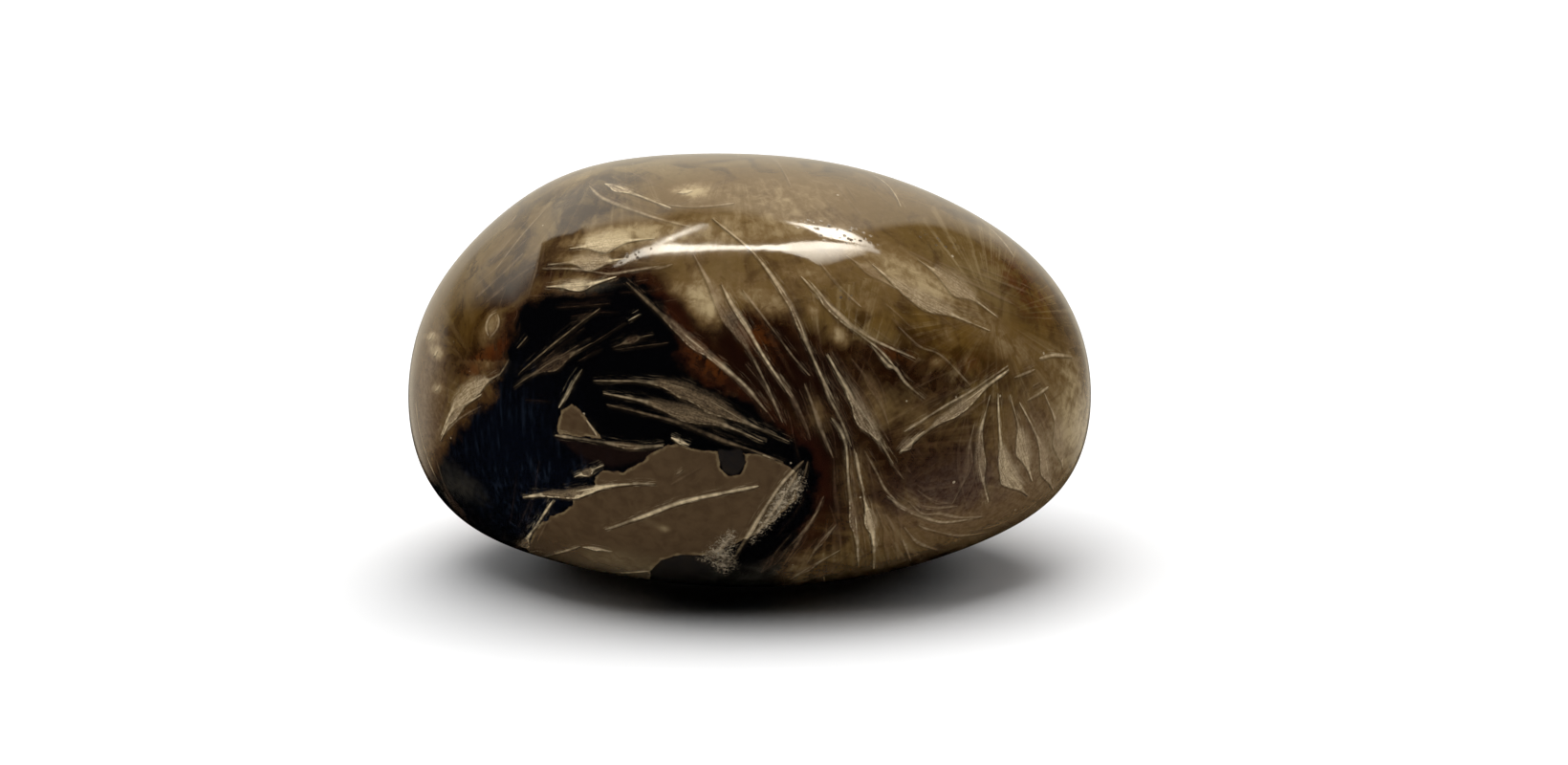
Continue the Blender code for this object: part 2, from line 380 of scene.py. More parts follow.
# Where the brown turns deep and dark.
UMBER = {
    "heart": Cloud(760, 362, 80, 34, 25, 0.7),
    "heart right": Cloud(822, 374, 50, 34, 40, 1.2),
    "under the far right blade": Cloud(915, 372, 34, 14, 20, 1.0),
    "below the bundle": Cloud(850, 470, 50, 60, 80, 1.1),
    "right of the brush": Cloud(985, 480, 70, 42, -20, 0.85),
    "under the double blade": Cloud(1000, 512, 50, 20, 0, 0.5),
    "left of the black": Cloud(500, 372, 34, 14, -48, 0.7),
    "amber side": Cloud(985, 372, 80, 20, 20, 0.2),
    "right inner edge": Cloud(1100, 330, 50, 12, 60, 0.15),
    "lower right rim": Cloud(960, 592, 70, 10, -14, 0.7),
    "gap by the brush": Cloud(872, 505, 40, 14, 84, 0.6),
    "brush ground": Cloud(890, 500, 50, 60, 0, 0.45),
    "right of the ribbons": Cloud(690, 310, 50, 26, 50, 1.1),
    "heart top": Cloud(785, 350, 50, 14, 30, 0.4),
    "heart deep": Cloud(795, 380, 70, 36, 20, 1.5),
    "under the crown": Cloud(850, 340, 40, 14, 40, 0.2),
    "top left": Cloud(610, 210, 80, 28, -24, 0.7),
    "left cheek": Cloud(500, 340, 50, 36, -60, 0.75),
    "ribbon ground": Cloud(600, 275, 60, 26, -10, 0.6),
    "right middle": Cloud(985, 345, 90, 30, 12, 0.45),
    "brush foot": Cloud(850, 560, 40, 40, -10, 0.5),
    "bottom rim": Cloud(880, 604, 200, 12, -2, 0.5),
    "under the brow": Cloud(950, 396, 80, 24, 10, 0.6),
    "left of the ribbons": Cloud(534, 302, 24, 12, -30, 0.7),
    "right of the bundle": Cloud(960, 440, 50, 40, 0, 0.15),
}
# Where light comes through it reddish or golden.
AMBER = {
    "left glow": Cloud(505, 380, 36, 12, -46, 1.0),
    "left glow low": Cloud(522, 366, 14, 8, -40, 0.8),
    "heart glow": Cloud(738, 384, 30, 15, 34, 1.2),
    "under the white ribbon": Cloud(640, 306, 36, 7, 6, 0.7),
    "above the black": Cloud(690, 322, 22, 10, 50, 0.8),
    "heart glow high": Cloud(716, 350, 26, 10, 40, 0.6),
    "ceiling glow": Cloud(585, 308, 34, 6, -4, 0.5),
    "heart right glow": Cloud(790, 350, 40, 18, 50, 0.7),
    "right glow": Cloud(1010, 378, 60, 18, 12, 0.5),
    "right shoulder glow": Cloud(1070, 300, 60, 24, 48, 0.7),
    "ray glow": Cloud(552, 385, 18, 7, -40, 0.6),
    "seam glow": Cloud(660, 476, 36, 7, 6, 0.5),
    "under the far right blade": Cloud(930, 368, 26, 10, 20, 0.5),
    "triangle side": Cloud(566, 458, 12, 10, 0, 0.4),
}
# Where the brown is clear and turns olive.
OLIVE = {
    "right": Cloud(1015, 345, 90, 42, 18, 1.0),
    "right shoulder": Cloud(1088, 296, 50, 22, 58, 1.0),
    "left cheek": Cloud(492, 345, 44, 22, -56, 0.55),
    "under the crown": Cloud(900, 330, 50, 16, 30, 0.4),
}
# Where a greyish rose veil lies over the brown.
DUSK = {
    "lower right": Cloud(1020, 520, 110, 54, -14, 1.0),
    "by the feathers": Cloud(1085, 450, 60, 34, 80, 0.6),
    "left rim": Cloud(448, 420, 80, 22, -86, 1.2),
}
# Where the black turns blue.
BLUE = {
    "low left": Cloud(530, 470, 70, 60, 60, 1.1),
    "under the spear": Cloud(560, 535, 50, 24, -20, 0.8),
    "by the seam": Cloud(600, 490, 40, 14, 0, 0.4),
    "top veil": Cloud(620, 215, 50, 20, -25, 0.25),
}
# Where tiny pits break the polish and hold painted shade.
PITTED = {
    "right fork": Cloud(876, 244, 40, 9, 14, 1.4),
    "left fork": Cloud(674, 264, 30, 7, -22, 1.0),
    "above the right blade": Cloud(980, 252, 30, 10, 20, 0.8),
    "left of the fork": Cloud(560, 286, 30, 5, -10, 0.6),
    "by the first pits": Cloud(882, 309, 12, 7, 0, 1.0),
    "wedge": Cloud(800, 545, 40, 14, -55, 0.6),
    "feather": Cloud(757, 578, 16, 18, 0, 0.6),
}

# The black mass, blue-black at its foot. It runs on past the outline and under the stone.
BLACK_OUTLINE = (
    (455, 500), (462, 480), (478, 455), (497, 432), (519, 412), (520, 396), (528, 372), (531, 352),
    (538, 336), (550, 318), (572, 306), (608, 306), (634, 295), (654, 288), (676, 296), (696, 318),
    (706, 340), (712, 362), (716, 384), (738, 402), (772, 412), (800, 434), (826, 454), (846, 468),
    (858, 500), (852, 532), (838, 560), (818, 590), (806, 640), (690, 680), (540, 660), (440, 590),
    (424, 530),
)
# The flat brown patch, with the round notch at its top.
PATCH_OUTLINE = (
    (552, 575), (558, 556), (566, 546), (587, 536), (597, 529), (601, 520), (620, 509), (622, 499),
    (630, 492), (652, 493), (671, 483), (685, 472), (698, 465), (712, 464), (730, 470), (751, 473),
    (752, 480), (756, 493), (764, 498), (774, 495), (780, 484), (776, 473), (790, 473), (806, 479),
    (822, 486), (832, 492), (836, 509), (832, 523), (811, 543), (783, 563), (764, 570), (744, 582),
    (713, 580), (692, 586), (681, 597), (676, 640), (610, 640), (560, 600),
)
NOTCH_OUTLINE = (
    (751, 470), (752, 480), (756, 493), (764, 498), (774, 495), (780, 484), (776, 470),
)
BUMP_OUTLINE = (
    (681, 597), (691, 586), (713, 580), (734, 581), (744, 590), (742, 640), (676, 640),
)
TRIANGLE_OUTLINE = ((599, 421), (586, 428), (582, 454), (606, 457), (630, 459), (620, 446), (608, 428))
WEDGE_OUTLINE = (
    (838, 494), (840, 508), (834, 520), (818, 535), (804, 549), (786, 566), (796, 546), (806, 528),
    (816, 512), (828, 502),
)
FEATHER_OUTLINE = (
    (766, 556), (769, 566), (763, 578), (769, 590), (758, 598), (748, 593), (744, 585), (733, 585),
    (745, 572), (756, 562),
)
RED_SEAM_OUTLINE = ((582, 458), (640, 464), (690, 470), (672, 482), (640, 490), (612, 482))


class Spot(NamedTuple):
    """A patch on a side that the photograph doesn't show: where it looks, and its half sizes in mm."""

    compass: float
    above: float
    half_long: float
    half_short: float
    turn: float
    amount: float = 1.0


BACK_BLACK = {
    "back heart": Spot(128, -8, 9.5, 5.5, 30),
    "back heart right": Spot(100, -24, 8.0, 4.0, -12),
    "back low": Spot(60, -32, 8.0, 4.0, -30),
    "underside": Spot(-150, -68, 12.0, 8.0, 10),
    "underside back": Spot(120, -58, 9.0, 6.0, 40),
    "right back": Spot(26, -10, 5.0, 2.6, 60),
    "back crown": Spot(66, 46, 5.0, 1.8, 24),
}
BACK_PATCHES = {
    "back shelf": Spot(112, -20, 6.0, 3.2, 20),
    "back shelf low": Spot(84, -36, 4.0, 2.0, -16),
    "underside shelf": Spot(30, -70, 7.0, 4.6, 0),
    "left shelf": Spot(160, -22, 4.6, 2.4, -20),
}
# Each mass: its outlines in the photograph, and its spots on the sides that it doesn't show.
MASSES = {
    "black": ((BLACK_OUTLINE,), BACK_BLACK),
    "shelf": ((PATCH_OUTLINE, TRIANGLE_OUTLINE), BACK_PATCHES),
    "seam": ((RED_SEAM_OUTLINE,), {}),
    "hollow": ((NOTCH_OUTLINE, BUMP_OUTLINE), {}),
    "grit": ((WEDGE_OUTLINE, FEATHER_OUTLINE), {}),
}


class Strewn(NamedTuple):
    """Made-up clouds: how many, and the ranges of their half lengths in mm and of their strengths."""

    count: int = 0
    sizes: tuple = (0.0, 0.0)
    amounts: tuple = (0.0, 0.0)


# Each kind of cloud: where the photograph shows it, and how it is strewn over the other sides.
CLOUDS = {
    "haze_and_painted_light": (HAZE_AND_PAINTED_LIGHT, Strewn(70, (1.2, 6.5), (0.3, 0.9))),
    "umber": (UMBER, Strewn(42, (3.0, 8.0), (0.5, 1.0))),
    "blue": (BLUE, Strewn(8, (3.0, 7.0), (0.5, 1.0))),
    "pitted": (PITTED, Strewn(14, (1.5, 4.0), (0.5, 1.0))),
    "amber": (AMBER, Strewn(22, (1.5, 5.0), (0.4, 0.9))),
    "olive": (OLIVE, Strewn(14, (3.0, 8.0), (0.4, 0.9))),
    "dusk": (DUSK, Strewn()),
}


class Root(NamedTuple):
    """Where the ground's fine streaks run together, how far they reach in pixels, and how strong they are."""

    x: float
    y: float
    reach: float
    amount: float


STREAK_ROOTS = {
    "knot": Root(874, 472, 210, 1.0),
    "crown": Root(770, 140, 230, 0.12),
    "double blade": Root(1040, 330, 140, 0.7),
    "left shoulder": Root(652, 124, 200, 0.55),
    "left rays": Root(530, 440, 130, 0.3),
}


class Fan(NamedTuple):
    """A fan of blades on an unseen side: where its root is, where it heads, and how far it opens."""

    compass: float
    above: float
    heading: float
    opening: float
    count: int
    length: float


BACK_FANS = {
    "back crown": Fan(88, 46, -96, 56, 22, 18.0),
    "back right brow": Fan(44, 22, -136, 60, 14, 14.0),
    "back left brow": Fan(142, 32, -50, 64, 18, 15.0),
    "back heart": Fan(106, -22, 96, 80, 20, 14.0),
    "back low right": Fan(60, -28, 24, 80, 12, 11.0),
    "back low left": Fan(144, -24, -150, 80, 12, 11.0),
    "left end": Fan(168, 14, -84, 70, 14, 13.0),
    "left end low": Fan(-172, -34, 40, 90, 9, 9.0),
    "right end": Fan(16, 12, 80, 70, 13, 12.0),
    "right end low": Fan(8, -30, -60, 90, 10, 10.0),
    "underside": Fan(-60, -76, 20, 120, 16, 12.0),
    "underside back": Fan(100, -62, 150, 90, 13, 11.0),
    "top": Fan(132, 66, 6, 60, 15, 14.0),
    "top right": Fan(40, 60, -164, 70, 14, 13.0),
}
BACK_HAIR_COUNT = 240

# How many blades may lie over each other, and how far from one its feathers and shade reach, in mm.
LAYERS = 8
BLADE_REACH = 1.0
# Farther than any mark reaches, in mm or in its half sizes.
FAR_OFF = 9.0
# Along, across and half width where a layer has no blade.
NO_BLADE = (0.0, FAR_OFF, -FAR_OFF)


def srgb(red, green, blue):
    """A colour as a screen shows it, 0 to 255, as the linear light that a shader takes."""
    def linear(value):
        share = value / 255
        return share / 12.92 if share <= 0.04045 else ((share + 0.055) / 1.055) ** 2.4
    return linear(red), linear(green), linear(blue)


# Settings


class StoneSettings(bpy.types.PropertyGroup):
    """What a user may change on the stone."""

    squares: IntProperty(
        name="Squares per side",
        description="Squares along each side of the cube that the pebble is grown from",
        default=128, min=16, max=128,
    )
    seed: IntProperty(
        name="Seed", description="Where the unseen sides' pattern starts from", default=11, min=0,
    )
    ground: FloatVectorProperty(
        name="Brown", description="Colour of the clear brown ground", subtype="COLOR",
        size=3, min=0, max=1, default=srgb(86, 66, 34),
    )
    umber: FloatVectorProperty(
        name="Umber", description="Colour where the brown turns deep", subtype="COLOR",
        size=3, min=0, max=1, default=srgb(32, 15, 5),
    )
    haze_and_painted_light: FloatVectorProperty(
        name="Haze", description="Colour of the milky clouds", subtype="COLOR",
        size=3, min=0, max=1, default=srgb(156, 137, 102),
    )
    amber: FloatVectorProperty(
        name="Amber", description="Colour where light comes through", subtype="COLOR",
        size=3, min=0, max=1, default=srgb(70, 36, 12),
    )
    black: FloatVectorProperty(
        name="Black", description="Colour of the black masses", subtype="COLOR",
        size=3, min=0, max=1, default=srgb(3, 3, 4),
    )
    blade: FloatVectorProperty(
        name="Blades", description="Colour of the pale blades", subtype="COLOR",
        size=3, min=0, max=1, default=srgb(196, 177, 142),
    )
    shelf: FloatVectorProperty(
        name="Flat patches", description="Colour of the opaque brown patches", subtype="COLOR",
        size=3, min=0, max=1, default=srgb(74, 58, 40),
    )
    roughness: FloatProperty(
        name="Roughness", description="Roughness of the polish", subtype="FACTOR",
        default=0.05, min=0, max=1,
    )


class StageSettings(bpy.types.PropertyGroup):
    """What a user may change on the stage."""

    floor_size: FloatProperty(
        name="Floor", description="Length of the floor's sides", unit="LENGTH",
        subtype="DISTANCE", default=6.0, min=0.5,
    )
    distance: FloatProperty(
        name="Camera distance", description="From the camera to the middle of the stone",
        unit="LENGTH", subtype="DISTANCE", default=CAMERA_DISTANCE, min=0.1,
    )
    overhead: FloatProperty(
        name="Overhead lamp", description="Power of the soft lamp over the stone",
        unit="POWER", default=24.0, min=0,
    )
    surround: FloatProperty(
        name="Dome", description="Strength of the soft light from above", default=0.15, min=0,
    )
    sides: FloatProperty(
        name="Sides", description="Strength of the low soft light from both sides", default=1.7, min=0,
    )
    card: FloatProperty(
        name="Back card", description="Strength of the pale card that the polish mirrors",
        default=1.0, min=0,
    )


# Geometry


def unit(rows):
    return rows / np.linalg.norm(rows, axis=-1, keepdims=True)


def compass_direction(compass_deg, above_deg):
    """The unit vector at a compass angle from +X towards +Y, and an angle above level."""
    compass, above = math.radians(compass_deg), math.radians(above_deg)
    return np.array((
        math.cos(compass) * math.cos(above),
        math.sin(compass) * math.cos(above),
        math.sin(above),
    ))


def worn_surface(cube_points):
    """Moves points of the cube from -1 to 1 onto the worn surface, in metres."""
    directions = unit(unit(np.tan(cube_points * math.pi / 4)) * HALF_SIZE)
    total = np.zeros(len(directions))
    for _, compass, above, distance in WORN_FACES:
        reach = directions @ compass_direction(compass, above) / (distance * MM)
        total += np.maximum(reach, 0) ** EDGE_SHARPNESS
    return directions * (total ** (-1 / EDGE_SHARPNESS))[:, None]


def worn_outward(place, grown_from):
    """The way that the worn surface looks at a place, without the steps of the mesh."""
    total = np.zeros(3)
    for _, compass, above, distance in WORN_FACES:
        looks_along = compass_direction(compass, above)
        reach = max(0.0, looks_along @ (place - grown_from) / (distance * MM))
        total += reach ** (EDGE_SHARPNESS - 1) * looks_along / distance
    return unit(total)


def points_of(mesh):
    points = np.empty(len(mesh.vertices) * 3)
    mesh.vertices.foreach_get("co", points)
    return points.reshape(-1, 3)


def normals_of(mesh):
    normals = np.empty(len(mesh.vertices) * 3)
    mesh.vertex_normals.foreach_get("vector", normals)
    return normals.reshape(-1, 3)


def corners_of(mesh):
    """The four points of each square."""
    corners = np.empty(len(mesh.loops), dtype=np.int32)
    mesh.loops.foreach_get("vertex_index", corners)
    return corners.reshape(-1, 4)


def write_vectors(mesh, name, domain, values):
    layer = mesh.attributes.new(name, "FLOAT_VECTOR", domain)
    layer.data.foreach_set("vector", values.astype(np.float32).ravel())


def write_points(mesh, name, values):
    layer = mesh.attributes.new(name, "FLOAT", "POINT")
    layer.data.foreach_set("value", values.astype(np.float32))


def grown_mesh(squares):
    """The pebble as a smooth mesh of squares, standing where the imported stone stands."""
    grid = bmesh.new()
    bmesh.ops.create_cube(grid, size=2)
    bmesh.ops.subdivide_edges(grid, edges=grid.edges[:], cuts=squares - 1, use_grid_fill=True)
    mesh = bpy.data.meshes.new("polished_stone")
    grid.to_mesh(mesh)
    grid.free()
    points = worn_surface(points_of(mesh))
    bottom = points[:, 2].min() + FLAT_SPOT_SLICE
    points[:, 2] = np.maximum(points[:, 2], bottom)
    middle = (points.min(axis=0) + points.max(axis=0)) / 2
    grown_from = (STONE_LOW + STONE_HIGH) / 2 - middle
    grown_from[2] = STONE_LOW[2] - bottom
    points += grown_from
    misfit = np.abs((points.min(axis=0) - STONE_LOW, points.max(axis=0) - STONE_HIGH)).max()
    if misfit > FIT_TOLERANCE:
        raise RuntimeError(f"the grown pebble misses the packed stone's box by {misfit / MM:.2f} mm")
    mesh.vertices.foreach_set("co", points.ravel())
    mesh.update()
    mesh.shade_smooth()
    mesh["grown_from"] = grown_from
    return mesh


# The camera as it stood for the photograph

VIEW_RIGHT = np.array((1.0, 0.0, 0.0))
VIEW_UP = np.array((0.0, math.sin(CAMERA_ELEVATION), math.cos(CAMERA_ELEVATION)))
VIEW_FORWARD = np.array((0.0, math.cos(CAMERA_ELEVATION), -math.sin(CAMERA_ELEVATION)))
AIM_POINT = np.array((2.50, 0.0, 13.84)) * MM
STONE_LOW, STONE_HIGH = (np.array(corner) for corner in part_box("stone"))
PIXELS_PER_MM = (STONE_RIGHT - STONE_LEFT) / (STONE_HIGH[0] - STONE_LOW[0]) * MM
FOCAL_PIXELS = PIXELS_PER_MM * CAMERA_DISTANCE / MM
CAMERA_PLACE = AIM_POINT - VIEW_FORWARD * CAMERA_DISTANCE


def view_ray(pixel):
    """The direction in which the camera sees a pixel of the photograph."""
    return unit(
        VIEW_FORWARD * FOCAL_PIXELS
        + VIEW_RIGHT * (pixel[0] - PHOTO_WIDTH / 2)
        + VIEW_UP * (PHOTO_HEIGHT / 2 - pixel[1])
    )


def pixels_of(points):
    """Where the camera sees each point, in pixels of the photograph."""
    offsets = points - CAMERA_PLACE
    depth = offsets @ VIEW_FORWARD
    return np.stack((
        PHOTO_WIDTH / 2 + FOCAL_PIXELS * (offsets @ VIEW_RIGHT) / depth,
        PHOTO_HEIGHT / 2 - FOCAL_PIXELS * (offsets @ VIEW_UP) / depth,
    ), axis=1)


# Unfolding and measuring. A length under TINY counts as none.

OUTLINE_STEPS = 180
TINY = 1e-6


def unfolded(points, normals):
    """Each point's pixel, with the far side folded out round the outline, and its share of the way out.

    The share is 1 on the outline that the camera sees and 2 in the middle of the far side.
    """
    spokes = pixels_of(points) - STONE_MIDDLE
    length = np.linalg.norm(spokes, axis=1)
    step = (np.arctan2(spokes[:, 1], spokes[:, 0]) / math.tau * OUTLINE_STEPS).astype(int) % OUTLINE_STEPS
    outline = np.zeros(OUTLINE_STEPS)
    np.maximum.at(outline, step, length)
    outline = (outline + np.roll(outline, 1) + np.roll(outline, -1)) / 3
    outline = np.maximum(outline[step], length)
    away = ((CAMERA_PLACE - points) * normals).sum(axis=1) < 0
    folded = np.where(away, 2 * outline - length, length)
    return STONE_MIDDLE + spokes * (folded / np.maximum(length, TINY))[:, None], folded / outline


def inside_distance(places, outline):
    """How far each place is inside a closed outline, in mm of the stone: below 0 outside it."""
    outline = np.array(outline, dtype=float)
    nearest = np.full(len(places), np.inf)
    inside = np.zeros(len(places), dtype=bool)
    for start, end in zip(outline, np.roll(outline, -1, axis=0)):
        edge = end - start
        offset = places - start
        along = np.clip(offset @ edge / (edge @ edge), 0, 1)
        nearest = np.minimum(nearest, np.linalg.norm(offset - along[:, None] * edge, axis=1))
        crosses = (start[1] > places[:, 1]) != (end[1] > places[:, 1])
        if edge[1]:
            inside ^= crosses & (places[:, 0] < start[0] + edge[0] * (places[:, 1] - start[1]) / edge[1])
    return np.where(inside, nearest, -nearest) / PIXELS_PER_MM


def cloud_strength(places, cloud):
    """How strongly a cloud of the photograph covers each place."""
    turn = math.radians(cloud.turn)
    offset = places - (cloud.x, cloud.y)
    long_way = (offset[:, 0] * math.cos(turn) + offset[:, 1] * math.sin(turn)) / cloud.half_long
    short_way = (offset[:, 1] * math.cos(turn) - offset[:, 0] * math.sin(turn)) / cloud.half_short
    return cloud.amount * np.exp(-(long_way ** 2 + short_way ** 2))


# How a spot's outline strays from an ellipse: waves round it, and how high each is.
UNEVEN_LOBES = ((2, 0.16), (3, 0.18), (5, 0.10), (8, 0.06))


def spot_offsets(points, normals, spot, shell):
    """How many half sizes each point lies from a spot on the stone, and the spot's mean half size."""
    middle, outward = shell.under(spot.compass, spot.above)
    east, north = tangent_axes(outward)
    turn = math.radians(spot.turn)
    long_axis = east * math.cos(turn) + north * math.sin(turn)
    short_axis = north * math.cos(turn) - east * math.sin(turn)
    offset = (points - middle) / MM
    along, across = offset @ long_axis / spot.half_long, offset @ short_axis / spot.half_short
    bearing = np.arctan2(across, along)
    uneven = sum(
        height * np.sin(lobes * bearing + spot.compass * lobes) for lobes, height in UNEVEN_LOBES
    )
    away = np.hypot(along, across) * (1 + uneven)
    return np.where(normals @ outward > 0, away, FAR_OFF), (spot.half_long + spot.half_short) / 2


NEARLY_UPRIGHT = 0.05


def tangent_axes(outward):
    """Two axes across a direction: one level, the other as upright as it can be."""
    east = np.cross((0.0, 0.0, 1.0), outward)
    if np.linalg.norm(east) < NEARLY_UPRIGHT:
        east = np.array((1.0, 0.0, 0.0))
    east = unit(east)
    return east, np.cross(outward, east)


# In metres, farther from the stone's middle than any point of it.
WELL_OUTSIDE = 0.1


class Shell:
    """The stone's surface, to lay marks on."""

    def __init__(self, mesh):
        self.tree = BVHTree.FromPolygons(
            [point.co for point in mesh.vertices], [square.vertices for square in mesh.polygons]
        )
        self.middle = (STONE_LOW + STONE_HIGH) / 2
        self.grown_from = np.array(mesh["grown_from"])

    def seen_at(self, pixel):
        """The point of the stone that the camera sees at a pixel, or None beside the stone."""
        place, _, _, _ = self.tree.ray_cast(Vector(CAMERA_PLACE), Vector(view_ray(pixel)))
        return None if place is None else np.array(place)

    def under(self, compass, above):
        """The point that lies that way from the middle of the stone, and the way that it looks."""
        direction = compass_direction(compass, above)
        place, outward, _, _ = self.tree.ray_cast(
            Vector(self.middle + direction * WELL_OUTSIDE), Vector(-direction)
        )
        return np.array(place), np.array(outward)

    def nearest(self, point):
        place, outward, _, _ = self.tree.find_nearest(Vector(point))
        return np.array(place), np.array(outward)


# Laying blades

ROUTE_SPACING = 5.0
STEP_LENGTH = 0.5 * MM
FEWEST_STEPS = 6
# How the fainter blades that run beside a listed one differ from it, in pixels of the photograph: the
# usual turn in degrees, the usual slide along it, and the ranges of the rest.
BESIDE_TURN = 5
BESIDE_SLIDE = 12
BESIDE_LENGTHS = (0.4, 1.0)
BESIDE_SWELLS = (0.0, 0.0, 2.5)
BESIDE_SWELL_PLACES = (0.3, 0.7)
BESIDE_LINES = (0.5, 0.85)
BESIDE_SOFTNESS = (0.5, 1.5)
# How the blades of a fan differ, in mm: the share that head the other way, how far from the root they
# start at most, their usual stray and bend in degrees, and the ranges of the rest.
HEAD_BACK = 0.25
FAN_STARTS = (3.0, 6.0, 9.0)
FAN_START_SHARES = (0.2, 1.0)
FAN_STRAY = 3
FAN_BEND = 7
FAN_LENGTHS = (0.3, 1.0)
FAN_LINES = (0.05, 0.09)
FAN_SWELL = 0.3
FAN_SWELL_PLACES = (0.25, 0.65)
FAN_TONES = (0.2, 0.85)
FAN_SOFTNESS = (0.05, 0.1, 0.2)
# The same for the hairs near a fan. Their spread is a share of its opening.
FAN_HAIR_SPREAD = 0.45
FAN_HAIR_PLACES = (0.1, 0.9)
FAN_HAIR_STRAY = 0.25
FAN_HAIR_BEND = 10
FAN_HAIR_LENGTHS = (0.15, 0.5)
FAN_HAIR_LINES = (0.03, 0.06)
FAN_HAIR_TONES = (0.1, 0.4)
FAN_HAIR_SOFTNESS = 0.03


class Laid(NamedTuple):
    """A blade that lies on the stone: its course in mm, its half widths in mm, and its look."""

    course: np.ndarray
    line: float
    swell: float
    at: float
    tone: float
    soft: float


def smooth_route(route, spacing):
    """Points along the smooth curve through a route."""
    stops = np.array(route, dtype=float)
    stops = np.vstack((2 * stops[0] - stops[1], stops, 2 * stops[-1] - stops[-2]))
    course = [stops[1]]
    for before, start, end, after in zip(stops, stops[1:], stops[2:], stops[3:]):
        steps = max(1, round(np.linalg.norm(end - start) / spacing))
        for step in range(1, steps + 1):
            share = step / steps
            course.append(0.5 * (
                2 * start
                + (end - before) * share
                + (2 * before - 5 * start + 4 * end - after) * share ** 2
                + (3 * start - before - 3 * end + after) * share ** 3
            ))
    return course


def laid_from_photo(blade, shell):
    """Lays a blade of the photograph onto the stone, as far as the camera sees stone there."""
    route, at = blade.route, blade.at
    if route[0][0] > route[-1][0]:
        route, at = route[::-1], 1 - at
    seen = [shell.seen_at(pixel) for pixel in smooth_route(route, ROUTE_SPACING)]
    course = np.array([place for place in seen if place is not None]) / MM
    return Laid(
        course,
        blade.line / PIXELS_PER_MM,
        max(blade.swell, blade.line) / PIXELS_PER_MM,
        at,
        blade.tone,
        blade.soft / PIXELS_PER_MM,
    )


def beside(blade, chance, shift, tones):
    """A fainter blade that runs beside another one, a little turned and shorter."""
    stops = np.array(blade.route, dtype=float)
    heading = unit(stops[-1] - stops[0])
    sideways = np.array((-heading[1], heading[0])) * chance.choice((-1, 1)) * chance.uniform(*shift)
    turn = math.radians(chance.normal(0, BESIDE_TURN))
    turned = np.array(((math.cos(turn), -math.sin(turn)), (math.sin(turn), math.cos(turn))))
    middle = stops.mean(axis=0)
    length = chance.uniform(*BESIDE_LENGTHS)
    slide = heading * chance.normal(0, BESIDE_SLIDE)
    route = (stops - middle) @ turned.T * length + middle + sideways + slide
    return Blade(
        tuple(map(tuple, route)),
        swell=chance.choice(BESIDE_SWELLS),
        at=chance.uniform(*BESIDE_SWELL_PLACES),
        tone=chance.uniform(*tones),
        line=chance.uniform(*BESIDE_LINES),
        soft=chance.choice(BESIDE_SOFTNESS),
    )


def photo_blades(chance):
    """Every blade that is listed from the photograph, over the fainter ones that run beside them."""
    listed = [blade for family in FRONT_BLADES for blade in family.values()]
    feathered = [blade for family in FEATHERED_FAMILIES for blade in family.values()]
    hairs = [
        beside(feathered[chance.integers(len(feathered))], chance, HAIR_SHIFT, HAIR_TONES)
        for _ in range(HAIR_COUNT)
    ]
    companions = [beside(blade, chance, COMPANION_SHIFT, COMPANION_TONES) for blade in feathered]
    return hairs + companions + listed


def walked(shell, start, ahead, length, bend):
    """The course of a blade that walks over the stone from a point, turning a little all the way."""
    place, outward = shell.nearest(start)
    steps = max(FEWEST_STEPS, int(length * MM / STEP_LENGTH))
    course = [place]
    for _ in range(steps):
        ahead = unit(ahead - outward * (ahead @ outward))
        ahead = unit(ahead + np.cross(outward, ahead) * math.tan(bend / steps))
        place, outward = shell.nearest(place + ahead * STEP_LENGTH)
        course.append(place)
    return np.array(course) / MM


def laid_in_fan(fan, chance, shell):
    """One blade of a fan: most of them head one way from the root, and a few the other way."""
    place, outward = shell.under(fan.compass, fan.above)
    east, north = tangent_axes(outward)
    share = chance.uniform(-0.5, 0.5)
    backwards = chance.uniform() < HEAD_BACK
    stray = chance.normal(0, FAN_STRAY)
    heading = math.radians(fan.heading + fan.opening * share + stray + 180 * backwards)
    bend = math.radians(fan.opening * share * 0.5 + chance.normal(0, FAN_BEND))
    ahead = east * math.cos(heading) + north * math.sin(heading)
    sideways = np.cross(outward, ahead)
    out = chance.uniform(*FAN_START_SHARES) * chance.choice(FAN_STARTS)
    start = place + (ahead * out + sideways * chance.normal(0, 1.0 + 0.12 * out)) * MM
    course = walked(shell, start, ahead, fan.length * chance.uniform(*FAN_LENGTHS), bend)
    line = chance.uniform(*FAN_LINES)
    return Laid(
        course,
        line,
        swell=line + max(0.0, chance.normal(0.0, FAN_SWELL)),
        at=chance.uniform(*FAN_SWELL_PLACES),
        tone=chance.uniform(*FAN_TONES),
        soft=chance.choice(FAN_SOFTNESS),
    )


def laid_hair(fan, chance, shell):
    """A faint fine line near a fan, roughly along it."""
    place, outward = shell.under(fan.compass, fan.above)
    east, north = tangent_axes(outward)
    bearing = math.radians(fan.heading + chance.normal(0, fan.opening * FAN_HAIR_SPREAD))
    away = east * math.cos(bearing) + north * math.sin(bearing)
    start = place + away * fan.length * chance.uniform(*FAN_HAIR_PLACES) * MM
    ahead = unit(away + np.cross(outward, away) * chance.normal(0, FAN_HAIR_STRAY))
    length = fan.length * chance.uniform(*FAN_HAIR_LENGTHS)
    course = walked(shell, start, ahead, length, math.radians(chance.normal(0, FAN_HAIR_BEND)))
    line = chance.uniform(*FAN_HAIR_LINES)
    return Laid(course, line, line, 0.5, chance.uniform(*FAN_HAIR_TONES), FAN_HAIR_SOFTNESS)


